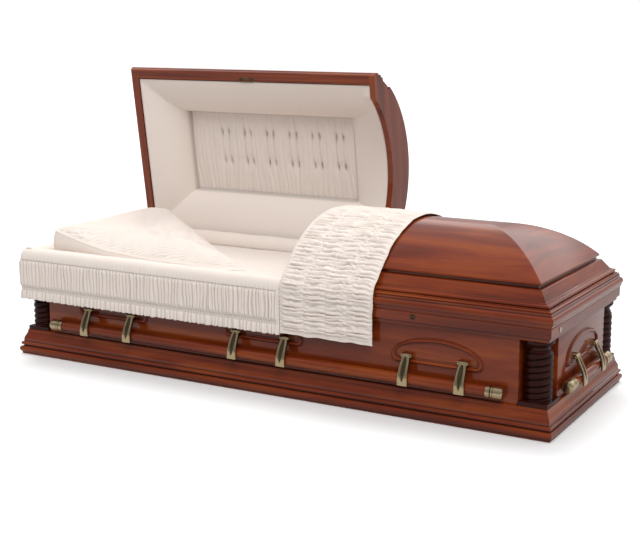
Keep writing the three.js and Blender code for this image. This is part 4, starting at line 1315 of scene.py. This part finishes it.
def make_throw():
    """The throw over the foot lid's cut end: crosswise pleats in columns. Each column has its own
    uneven run of rounded ridges, and the shirring lines between columns and the gathered side
    hems draw them in."""
    cloth = sizes()
    pitch, deep = cloth.pleat_pitch / MM, cloth.pleat_depth / MM
    line, distance = throw_path()
    across = 190
    width = 350.0
    x = np.linspace(0, width, across)[None, :]
    s = distance[:, None]
    hem = 11.0
    columns = cloth.throw_columns
    cell = np.clip((x - hem) / (width - 2 * hem), 0, 1 - 1e-6) * columns
    number = np.floor(cell)
    within = cell - number
    shirr = np.sin(math.pi * within) ** 0.4
    side = smooth_step(x / hem) * smooth_step((width - x) / hem)
    plain = smooth_step((s - 12) / 16)
    rate = 2 * math.pi / pitch
    swell = 0
    for column in range(-1, columns + 1):
        share = np.clip(1.18 - np.abs(cell - column - 0.5) * 1.18, 0, 1)
        mask = smooth_step(share / 0.55)
        place = s + wander(s, 40 + column, 71, 3) * 6 + 9 * np.sin(3.1 * column + 0.5)
        place = place + 2.5 * np.sin(within * math.pi + column)
        place = place + wander(x, 52 + column, 40, 2) * 1.6
        loud = 0.85 + 0.35 * wander(s + 0.5 * x, 60 + column, 67, 2)
        crest = 0.9 * fold_wave(rate * place) + 0.2 * fold_wave(rate * 1.7 * place + 1.3 * column)
        swell = swell + mask * loud * crest * (1 if 0 <= column < columns else 0.6)
    swell = swell * plain * (0.25 + 0.75 * shirr) * (0.25 + 0.75 * side)
    # Painted shade: the valleys between the pleats are darkened through the recess attribute.
    dark = np.clip(0.25 - 0.75 * swell, 0, 1) * plain
    swell = deep * swell
    edge_folds = 0.9 * (1 - side) * fold_wave(rate * 1.4 * s + 0.8)
    swell = swell + plain * (2.2 * shirr * side + edge_folds)
    swell = swell + (1 - plain) * wander(x, 44, 90, 2) * 1.6
    run = np.gradient(line, axis=0)
    run /= np.linalg.norm(run, axis=1, keepdims=True)
    out = np.column_stack([-run[:, 1], run[:, 0]])
    y = line[:, :1] + out[:, :1] * swell
    z = line[:, 1:] + out[:, 1:] * swell
    z = z + (1 - plain) * wander(x, 46, 120, 2) * 2.5
    shift = wander(s, 48, 160, 3) * 2.4 * (x / width)
    xyz = np.stack([x + shift + SPLIT_FOOT - 1.0 + 0 * s, y, z], -1)
    grain = np.stack([np.broadcast_to(x, y.shape), np.broadcast_to(s, y.shape), 0 * y], -1)
    piece = (
        Skin()
        .lattice(xyz, grain, dark)
        .piece("throw_cloth", "pleated_crepe", "foot_lid", "crepe", ["throw"], angle=80)
    )
    thicken(piece, 1.4)


def make_mattress():
    """The bed: a padded top that swells from its sewn edges, with a gentle ripple."""
    nx, ny = 150, 60
    half_x, half_y = HALF_LENGTH - 84, HALF_WIDTH - 84
    u = np.sin(np.linspace(-math.pi / 2, math.pi / 2, nx))[:, None]
    v = np.sin(np.linspace(-math.pi / 2, math.pi / 2, ny))[None, :]
    swell = (1 - np.abs(u) ** 26) * (1 - np.abs(v) ** 7)
    x, y = half_x * u + 0 * v, half_y * v + 0 * u
    ripple = wander(x * 0.8 + y * 0.55, 61, 330, 3) * 1.6 + wander(x * 0.3 - y, 62, 240, 2) * 1.2
    z = 334 + 42 * swell**0.8 + ripple * swell
    top = np.stack([x, y, z], -1)
    bottom = np.stack([x, y, np.full_like(z, 312.6)], -1)
    skin = Skin()
    skin.lattice(top, top)
    skin.lattice(bottom, bottom)
    for line in (np.s_[0, :], np.s_[-1, :], np.s_[:, 0], np.s_[:, -1]):
        wall = np.stack([bottom[line], top[line]])
        skin.lattice(wall, wall)
    piece = skin.piece("bed_pad", "smooth_crepe", "casket", "crepe", ["mattress"], angle=60)
    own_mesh(piece)


PILLOW_PLAN = np.array(
    [
        [-976, -284, 470],
        [-860, -286, 440],
        [-720, -287, 412],
        [-540, -287, 398],
        [-190, -280, 390],
        [-105, -244, 386],
        [-250, -150, 392],
        [-470, 45, 404],
        [-690, 172, 452],
        [-850, 266, 490],
        [-966, 276, 488],
    ],
    float,
)


def pillow_ring(count):
    """The pillow's outline: straight runs between its plan points, sampled evenly and rounded by
    a running average."""
    loop = np.vstack([PILLOW_PLAN, PILLOW_PLAN[:1]])
    distance = girth(loop[:, :2])
    even = np.linspace(0, distance[-1], count, endpoint=False)
    ring = np.column_stack([np.interp(even, distance, loop[:, k]) for k in range(3)])
    width = 11
    kernel = np.ones(width) / width
    padded = np.vstack([ring[-(width // 2) :], ring, ring[: width // 2]])
    return np.column_stack([np.convolve(padded[:, k], kernel, mode="valid") for k in range(3)])


def make_pillow():
    """The pillow: a wall rises from the bed to a corded seam, and the top runs in from the seam to
    the middle, from the seam's height to the middle's by the square of the distance, with a
    swell on top. Fine slanted creases cross it, and gathers spread from its front corner."""
    count = 460
    ring = pillow_ring(count)
    middle = np.array([-700.0, -60.0])
    wall = np.linspace(0, 1, 9)[:, None]
    top = np.cos(np.linspace(0, math.pi / 2, 84))[:, None]
    seam = np.maximum(ring[:, 2][None, :] + 1, 390)
    bulge = 0.94 + 0.065 * np.sin(math.pi * np.clip(wall * 0.6 + 0.2, 0, 1))
    wall_plan = bulge[..., None] * (ring[None, :, :2] - middle) + middle
    wall_z = 376 + (seam - 376) * wall
    top_plan = 0.985 * top[..., None] * (ring[None, :, :2] - middle) + middle
    top_z = seam * top**2 + 452 * (1 - top**2) + 22 * (1 - top**6) * (0.3 + 0.7 * top)
    plan = np.vstack([wall_plan, top_plan])
    z = np.vstack([wall_z, top_z])
    x, y = plan[..., 0], plan[..., 1]
    inward = np.vstack([0 * wall, 1 - top])
    slant = x * 0.50 - y * 0.87
    other = x * 0.78 + y * 0.62
    zigzag = np.abs((other / 90) % 2 - 1) * 20
    creases = fold_wave(2 * math.pi * (slant + zigzag + wander(other, 75, 70, 2) * 4) / 15)
    loud = 0.8 + 0.4 * wander(other + 0.4 * slant, 76, 120, 2)
    on_top = smooth_step((inward - 0.015) / 0.05)
    corner = np.exp(-(((x + 940) / 120) ** 2) - ((y + 275) / 120) ** 2)
    spread = fold_wave(30 * np.arctan2(y + 315, x + 1000) + 2 * wander(x, 77, 60, 2))
    relief = loud * creases * (1 - 0.8 * corner) * 3.0 + 5.0 * corner * spread
    z = z + on_top * relief + on_top * wander(slant * 0.7 + other * 0.4, 73, 210, 2) * 4
    # Painted shade: the valleys of the creases and corner gathers on top are darkened.
    dark = on_top * np.clip(0.2 - 0.16 * relief, 0, 1)
    xyz = np.concatenate([plan, z[..., None]], -1)
    grain = np.stack([slant, other, 0 * z], -1)
    skin = Skin()
    skin.solid(xyz, grain, dark)
    piece = skin.piece("head_pillow", "pleated_crepe", "casket", "crepe", ["pillow"], angle=70)
    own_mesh(piece)


LINING_INSET = 55.0
BORDER_WIDE = 150.0
BORDER_LOW = 350.0
BORDER_TOP = 474.0
# How far the tufts' middle line lies in front of the casket's.
TUFT_SHIFT = 23.0


def border_share(margin):
    """How far a padded border has risen over its margin, from 0 to 1."""
    share = np.clip(margin / BORDER_WIDE, 0, 1)
    return 0.34 * share + 0.66 * (1 - np.sqrt(1 - share**2))


def lining_height(margin):
    """Height of the lining's padded border over its margin: part straight slope and part round
    quarter, so that the roll is full and plunges to a tight seam at the panel."""
    return BORDER_LOW + (BORDER_TOP - BORDER_LOW) * border_share(margin)


def make_linings():
    """Each lid's lining: the lowest of three padded borders and the panel between them. Tufts are
    narrow bell-shaped dents in pairs, and each draws a long fold from one edge of the panel to
    the other."""
    for name, (sign, cut, body, place) in LIDS.items():
        out_x = HALF_LENGTH - LINING_INSET
        near_x = sign * (cut + sign * 24)
        half_y = HALF_WIDTH - LINING_INSET
        edge_x = out_x - BORDER_WIDE
        ease = np.sin(np.linspace(0, math.pi / 2, 34))
        x = np.concatenate(
            [
                near_x + BORDER_WIDE * ease,
                np.linspace(near_x + 152, edge_x - 2, 420 if name == "head" else 120),
                out_x - BORDER_WIDE * ease[::-1],
            ]
        )[:, None]
        inner = np.linspace(half_y - 152, 0, 26)
        side = np.concatenate([half_y - BORDER_WIDE * ease, inner[:-1]])
        y = np.concatenate([-side, [0.0], side[::-1]])[None, :]
        arched = arch_height(y) + 4
        cut_side = arched + (BORDER_TOP - arched) * border_share(x - near_x)
        border = np.minimum(lining_height(half_y - np.abs(y)), lining_height(out_x - x))
        z = np.minimum(border, cut_side)
        margin = np.minimum(np.minimum(half_y - np.abs(y), out_x - x), x - near_x)
        margin = margin - BORDER_WIDE
        on_panel = smooth_step((margin + 0.5) / 2)
        real_x = sign * x
        from_middle = y + TUFT_SHIFT
        fan = np.clip((np.abs(from_middle) - 61) / 100, 0, 1)
        slant = real_x + 14 * fan * np.sin(real_x / 60)
        pleats = wander(slant, 81, 23, 4) * 1.6 + wander(slant, 82, 61, 2) * 1.8
        sag = 5 * (1 - (np.clip(np.abs(y), 0, 170) / 170) ** 2)
        z = z + on_panel * (7 + pleats - sag)
        # Painted shade: darkening along the seam at the panel's edge, in the tuft dents and along
        # their folds.
        stain_and_painted_shade = 0.9 * np.exp(-((margin / 3.5) ** 2)) + 0 * z
        if name == "head":
            for pair in np.linspace(-698, -146, 6):
                for middle in (pair - 16, pair + 16):
                    line = real_x - middle - 0.03 * from_middle
                    line = line - 9 * fan * np.sin(middle / 37)
                    strength = 0.35 + 0.65 * (np.abs(from_middle) < 75)
                    fold = np.exp(-((line / 3.2) ** 2)) * strength
                    for row in (-84, 38):
                        dent = np.exp(-((line / 4.2) ** 2) - ((y - row) / 13) ** 2)
                        hollow = np.exp(-((line / 17) ** 2) - ((y - row) / 28) ** 2)
                        z = z + on_panel * (12 * dent + 5.0 * hollow)
                        stain_and_painted_shade = stain_and_painted_shade + on_panel * 0.9 * dent
                    z = z + on_panel * 4.0 * fold
                    stain_and_painted_shade = stain_and_painted_shade + on_panel * 0.22 * fold
        xyz = place(np.stack([real_x + 0 * y, y + 0 * x, z], -1))
        flat = np.stack([y + 0 * x, real_x + 0 * y, 0 * z], -1)
        piece = Skin().lattice(xyz, flat, np.clip(stain_and_painted_shade, 0, 1)).piece(
            name + "_lining_cloth",
            "smooth_crepe",
            body,
            "crepe",
            [name + "_lid_lining"],
            angle=35,
        )
        thicken(piece, 2.0, offset=0)


# Stage

AZIMUTH = math.radians(25.98569)
ELEVATION = math.radians(9.33049)
ROLL = math.radians(0.79825)
CAMERA_PLACE = (2.13203, -3.47880, 1.15950)
PHOTO_WIDTH = 640.0
PHOTO_HEIGHT = 533.0
FOCAL_PIXELS = 1135.73
PRINCIPAL = (419.81, 236.50)


def make_camera():
    """The camera: its back axis comes from azimuth and elevation, its right and up axes are
    turned by the roll, and the off-centre principal point becomes the lens shift."""
    back = np.array(
        [
            math.sin(AZIMUTH) * math.cos(ELEVATION),
            -math.cos(AZIMUTH) * math.cos(ELEVATION),
            math.sin(ELEVATION),
        ]
    )
    right = np.cross(-back, [0, 0, 1])
    right /= np.linalg.norm(right)
    up = np.cross(right, -back)
    c, s = math.cos(ROLL), math.sin(ROLL)
    right, up = c * right + s * up, c * up - s * right
    data = bpy.data.cameras.new("view")
    data.sensor_width = 36.0
    data.lens = FOCAL_PIXELS / PHOTO_WIDTH * 36.0
    data.shift_x = -(PRINCIPAL[0] - PHOTO_WIDTH / 2) / PHOTO_WIDTH
    data.shift_y = (PRINCIPAL[1] - PHOTO_HEIGHT / 2) / PHOTO_WIDTH
    camera = bpy.data.objects.new("view", data)
    bpy.context.scene.collection.objects.link(camera)
    matrix = Matrix((right, up, back)).transposed().to_4x4()
    matrix.translation = CAMERA_PLACE
    camera.matrix_world = matrix
    bpy.context.scene.camera = camera


def soft_sun(name, direction, power, spread):
    """A sun whose disc is many degrees wide, so that its shadows are soft. The lacquer does not
    mirror the disc."""
    data = bpy.data.lights.new(name, "SUN")
    data.energy = power
    data.angle = math.radians(spread)
    light = bpy.data.objects.new(name, data)
    bpy.context.scene.collection.objects.link(light)
    light.visible_glossy = False
    light.rotation_mode = "QUATERNION"
    light.rotation_quaternion = Vector(direction).to_track_quat("Z", "Y")


def make_stage():
    """A pale floor, a white surround and two broad soft suns. The floor throws back about half
    of what the camera sees on it. The surround is brightest overhead and behind, where a level
    strip shines in the lacquer, dim in front, and white to the camera."""
    mesh = bpy.data.meshes.new("studio_floor")
    size, low = 40.0, -0.0008
    corners = [(-size, -size, low), (size, -size, low), (size, size, low), (-size, size, low)]
    mesh.from_pydata(corners, [], [(0, 1, 2, 3)])
    floor = bpy.data.objects.new("studio_floor", mesh)
    bpy.context.scene.collection.objects.link(floor)
    made, tree, shader = new_material("studio_paint", Roughness=0.8, Specular_IOR_Level=0.1)
    seen = add_node(tree, "ShaderNodeLightPath").outputs["Is Camera Ray"]
    white = tuple(colours().floor)
    paint = blended(tree, seen, dimmed(white, 0.55), white)
    tree.links.new(paint, shader.inputs["Base Color"])
    mesh.materials.append(made)
    world = bpy.data.worlds.new("studio")
    world.use_nodes = True
    bpy.context.scene.world = world
    tree = world.node_tree
    tree.nodes.clear()
    place = add_node(tree, "ShaderNodeTexCoord")
    height = add_node(tree, "ShaderNodeSeparateXYZ", links={"Vector": place.outputs["Generated"]})
    rise = ranged(tree, height.outputs["Z"], 0.0, 0.9, 0.0, 0.38)
    behind = ranged(tree, height.outputs["Y"], -0.6, 0.8, 0.16, 0.5)
    total = times_plus(tree, rise, 1.0, behind)
    dark, lit = (0, 0, 0, 1), (1, 1, 1, 1)
    stops = [(0.26, dark), (0.34, lit), (0.46, lit), (0.56, dark)]
    strip = ramp(tree, height.outputs["Z"], stops).outputs["Color"]
    rear = ranged(tree, height.outputs["Y"], 0.35, 0.7, 0.0, 0.8)
    with_strip = add_node(
        tree,
        "ShaderNodeMath",
        {"operation": "MULTIPLY_ADD"},
        links={0: strip, 1: rear, 2: total},
    )
    soft = add_node(tree, "ShaderNodeBackground", links={"Strength": with_strip.outputs["Value"]})
    white = add_node(tree, "ShaderNodeBackground", inputs={"Strength": 1.05})
    for background in (soft, white):
        background.inputs["Color"].default_value = (1, 1, 1, 1)
    ray = add_node(tree, "ShaderNodeLightPath")
    mixed = add_node(
        tree,
        "ShaderNodeMixShader",
        links={
            0: ray.outputs["Is Camera Ray"],
            1: soft.outputs["Background"],
            2: white.outputs["Background"],
        },
    )
    add_node(tree, "ShaderNodeOutputWorld", links={"Surface": mixed.outputs["Shader"]})
    soft_sun("rear_sun", (-1.0, 1.3, 3.2), 1.5, 30)
    soft_sun("front_sun", (1.5, -2.1, 2.8), 1.75, 40)
    bpy.context.scene.view_settings.view_transform = "Standard"


class CasketOperator:
    """Shared by the casket's operators: each one builds its pieces and finishes."""

    bl_options = {"REGISTER", "UNDO"}
    steps = ()

    def execute(self, context):
        """Runs the operator's shape functions in order. A fault in one raises an error."""
        for step in self.steps:
            step()
        return {"FINISHED"}


class CASKET_OT_stage(CasketOperator, bpy.types.Operator):
    """Camera, floor and lights"""

    bl_idname = "casket.stage"
    bl_label = "Stage"
    steps = (make_camera, make_stage)


class CASKET_OT_body(CasketOperator, bpy.types.Operator):
    """Base mouldings, body panels, carved panels and top rails"""

    bl_idname = "casket.body"
    bl_label = "Body"
    steps = (make_base, make_rail, make_panels, make_carved_panels)


class CASKET_OT_columns(CasketOperator, bpy.types.Operator):
    """Rope-twist corner columns"""

    bl_idname = "casket.columns"
    bl_label = "Columns"
    steps = (make_columns,)


class CASKET_OT_lids(CasketOperator, bpy.types.Operator):
    """Mouldings, vaults and header boards of both lids"""

    bl_idname = "casket.lids"
    bl_label = "Lids"
    steps = (make_lids,)


class CASKET_OT_handles(CasketOperator, bpy.types.Operator):
    """Bars, caps, arms and lugs"""

    bl_idname = "casket.handles"
    bl_label = "Handles"
    steps = (make_handles,)


class CASKET_OT_fittings(CasketOperator, bpy.types.Operator):
    """Keyhole, plug, catch and hinges"""

    bl_idname = "casket.fittings"
    bl_label = "Fittings"
    steps = (make_fittings,)


class CASKET_OT_linings(CasketOperator, bpy.types.Operator):
    """Linings of both lids"""

    bl_idname = "casket.linings"
    bl_label = "Lid linings"
    steps = (make_linings,)


class CASKET_OT_bedding(CasketOperator, bpy.types.Operator):
    """Mattress, pillow and rim roll"""

    bl_idname = "casket.bedding"
    bl_label = "Bedding"
    steps = (make_mattress, make_pillow, make_rim_roll)


class CASKET_OT_skirt(CasketOperator, bpy.types.Operator):
    """Gathered overlay skirt"""

    bl_idname = "casket.skirt"
    bl_label = "Skirt"
    steps = (make_skirt,)


class CASKET_OT_throw(CasketOperator, bpy.types.Operator):
    """Pleated throw over the foot lid"""

    bl_idname = "casket.throw"
    bl_label = "Throw"
    steps = (make_throw,)


OPERATORS = (
    CASKET_OT_stage,
    CASKET_OT_body,
    CASKET_OT_columns,
    CASKET_OT_lids,
    CASKET_OT_handles,
    CASKET_OT_fittings,
    CASKET_OT_linings,
    CASKET_OT_bedding,
    CASKET_OT_skirt,
    CASKET_OT_throw,
)


class CASKET_PT_panel(bpy.types.Panel):
    """Lists the casket's sizes, colours and building steps"""

    bl_label = "Casket"
    bl_idname = "CASKET_PT_panel"
    bl_space_type = "VIEW_3D"
    bl_region_type = "UI"
    bl_category = "Casket"

    def draw(self, context):
        """One row for each size and colour, and one button for each step."""
        for group in (context.scene.casket_sizes, context.scene.casket_colours):
            for key in group.bl_rna.properties.keys():
                if key not in ("name", "rna_type"):
                    self.layout.prop(group, key)
        for made in OPERATORS:
            self.layout.operator(made.bl_idname)


CLASSES = (CasketSizes, CasketColours, *OPERATORS, CASKET_PT_panel)


def register():
    """Registers the classes and hangs the two property groups on the scene."""
    for made in CLASSES:
        bpy.utils.register_class(made)
    bpy.types.Scene.casket_sizes = PointerProperty(type=CasketSizes)
    bpy.types.Scene.casket_colours = PointerProperty(type=CasketColours)


def unregister():
    """Undoes register, in reverse."""
    del bpy.types.Scene.casket_colours
    del bpy.types.Scene.casket_sizes
    for made in reversed(CLASSES):
        bpy.utils.unregister_class(made)


def main():
    """Builds every piece in order."""
    register()
    bpy.ops.casket.stage()
    bpy.ops.casket.body()
    bpy.ops.casket.columns()
    bpy.ops.casket.lids()
    bpy.ops.casket.handles()
    bpy.ops.casket.fittings()
    bpy.ops.casket.linings()
    bpy.ops.casket.bedding()
    bpy.ops.casket.skirt()
    bpy.ops.casket.throw()


if __name__ == "__main__":
    main()
